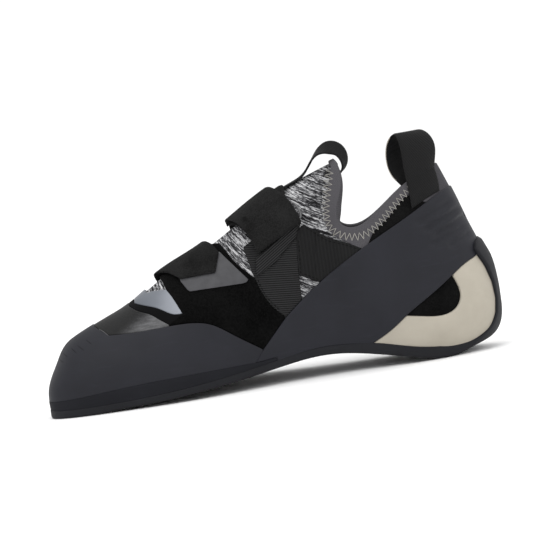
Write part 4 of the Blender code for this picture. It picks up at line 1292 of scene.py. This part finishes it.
# Small things: pleats of the toe with painted shade along them, its seam, stitches and the straps' holes
# with painted shade in them
def threads(rows, lift):
    """Lines above the skin through points seen from the near side, for threads, rims and the painted shade
    of the toe's pleats.
    """
    rows = np.asarray(rows, float)
    r, v = locate(rows.reshape(-1, 2), 1, lift).T
    return skin(r, v, lift).reshape(rows.shape[:-1] + (3,))


def dashes(rows, pitch, share):
    """Side view of short stitches along a line, three points each."""
    line = curve(rows, FINE_STEP)
    t = np.arange(0, ways(line)[-1] - pitch * share, pitch)[:, None] + np.linspace(0, pitch * share, 3)
    return on_line(line, t)


# Dark lines along the toe's pleats are painted shade, where the creases of the folded rubber fall dark
PLEAT_SHADE_LINES = [[(9.0, 30.8), (11.6, 29.4)], [(11.5, 34.0), (14.2, 32.2)], [(16.8, 36.2), (19.4, 33.8)],
          [(20.5, 37.4), (23.6, 34.6)], [(25.5, 39.6), (28.2, 37.4)]]
TOE_SEAM = [(33, 44.2), (35, 43), (38, 40.5)]
pleat_shade = [along_line(line, 5) for line in PLEAT_SHADE_LINES]
tubes("toe_pleat_painted_shade", threads(pleat_shade, RUBBER_OUT), 0.11, BLACK_THREAD_AND_SHADE)
tubes("toe_seam", threads([along_line(TOE_SEAM, 12)], RUBBER_OUT), 0.14, SEAM)

STITCH_PITCH = 2.3
STITCH_SHARE = 0.65
ARM_STITCHES = [[(131, 40.5), (126, 47), (122.8, 55), (121.8, 59)],
                [(145.2, 57.5), (146.5, 70), (147, 77)],
                [(177, 66.6), (170, 70), (163, 72.6), (156.5, 77.4), (151.5, 81.6)],
                [(147, 57), (155, 52.6)]]
stitches = np.concatenate([dashes(line, STITCH_PITCH, STITCH_SHARE) for line in ARM_STITCHES])

Hole = namedtuple("Hole", "x z lift")
STRAP_HOLES = [Hole(79.4, 74.1, 4.5), Hole(87.5, 72.9, 4.45), Hole(119.7, 90.7, 6.25)]
HOLE_WIDE = 1.35
HOLE_HIGH = 1.1
# How far below and above the strap's face each disc of painted shade in a hole reaches
HOLE_ENDS = (-0.4, 0.05)
turns = np.linspace(0, 2 * math.pi, 17)
hole_shade_discs, hole_rims = [], []
for x, z, lift in STRAP_HOLES:
    r, v = locate([(x, z)], 1, lift).T
    hole_shade_discs.append(np.concatenate([skin(r, v, lift + end) for end in HOLE_ENDS]))
    ring = np.stack((x + HOLE_WIDE * np.cos(turns), z + HOLE_HIGH * np.sin(turns)), axis=1)
    hole_rims.append(threads(ring, lift))
# black discs sunk in the straps' holes are painted shade; the rims round them are suede
tubes("strap_hole_painted_shade", hole_shade_discs, 2.1, BLACK_THREAD_AND_SHADE, around=12)
tubes("strap_hole_rims", hole_rims, 0.16, SUEDE)
tubes("webbing_stitches", threads(stitches, 1.5), 0.2, BLACK_THREAD_AND_SHADE)

# Floor, light and camera
FLOOR = 6.0
floor_data = bpy.data.meshes.new("floor")
corners = [(-FLOOR, -FLOOR, 0), (FLOOR, -FLOOR, 0), (FLOOR, FLOOR, 0), (-FLOOR, FLOOR, 0)]
floor_data.from_pydata(corners, [], [(0, 1, 2, 3)])
floor = bpy.data.objects.new("floor", floor_data)
bpy.context.scene.collection.objects.link(floor)
pale = Finish("pale_floor", 0.9, 0.1)
pale.colour(pale.ramp(pale.noise(pale.place(), 3), (0.3, grey(0.955)), (0.7, grey(0.97))))
floor_data.materials.append(pale.material)

world = bpy.data.worlds.new("studio")
world.use_nodes = True
world.node_tree.nodes["Background"].inputs["Color"].default_value = (1, 1, 1, 1)
world.node_tree.nodes["Background"].inputs["Strength"].default_value = 1.08
bpy.context.scene.world = world
bpy.context.scene.view_settings.view_transform = "Standard"

Light = namedtuple("Light", "name x y z size power")
LIGHTS = [Light("key", -0.35, -0.8, 1.1, 0.9, 4.5), Light("top", 0.1, 0.2, 1.3, 1.1, 4.0),
          Light("side", 0.9, -0.5, 0.6, 0.7, 1.5)]
for light in LIGHTS:
    lamp = bpy.data.lights.new(light.name, "AREA")
    lamp.energy = light.power
    lamp.size = light.size
    thing = bpy.data.objects.new(light.name, lamp)
    thing.location = (light.x, light.y, light.z)
    thing.rotation_euler = (Vector((0, 0, 0.05)) - thing.location).to_track_quat("-Z", "Y").to_euler()
    bpy.context.scene.collection.objects.link(thing)

PHOTO_WIDE = 299.2
AIM = (131.5, -15.0, 57.9)
LOOK_DOWN = 4.5
ROLL = 8.7
DISTANCE = 1500.0
camera_data = bpy.data.cameras.new("camera")
camera_data.sensor_width = 36.0
camera_data.lens = camera_data.sensor_width * DISTANCE / PHOTO_WIDE
camera = bpy.data.objects.new("camera", camera_data)
aim = (np.array(AIM) - (X_MID, Y_MID, 0)) * MM
down = math.radians(LOOK_DOWN)
camera.location = aim + np.array((0, -math.cos(down), math.sin(down))) * DISTANCE * MM
turn = Euler((math.pi / 2 - down, 0, 0)).to_matrix() @ Euler((0, 0, math.radians(-ROLL))).to_matrix()
camera.rotation_euler = turn.to_euler()
camera_data.clip_end = 50
bpy.context.scene.collection.objects.link(camera)
bpy.context.scene.camera = camera

bpy.context.view_layer.update()
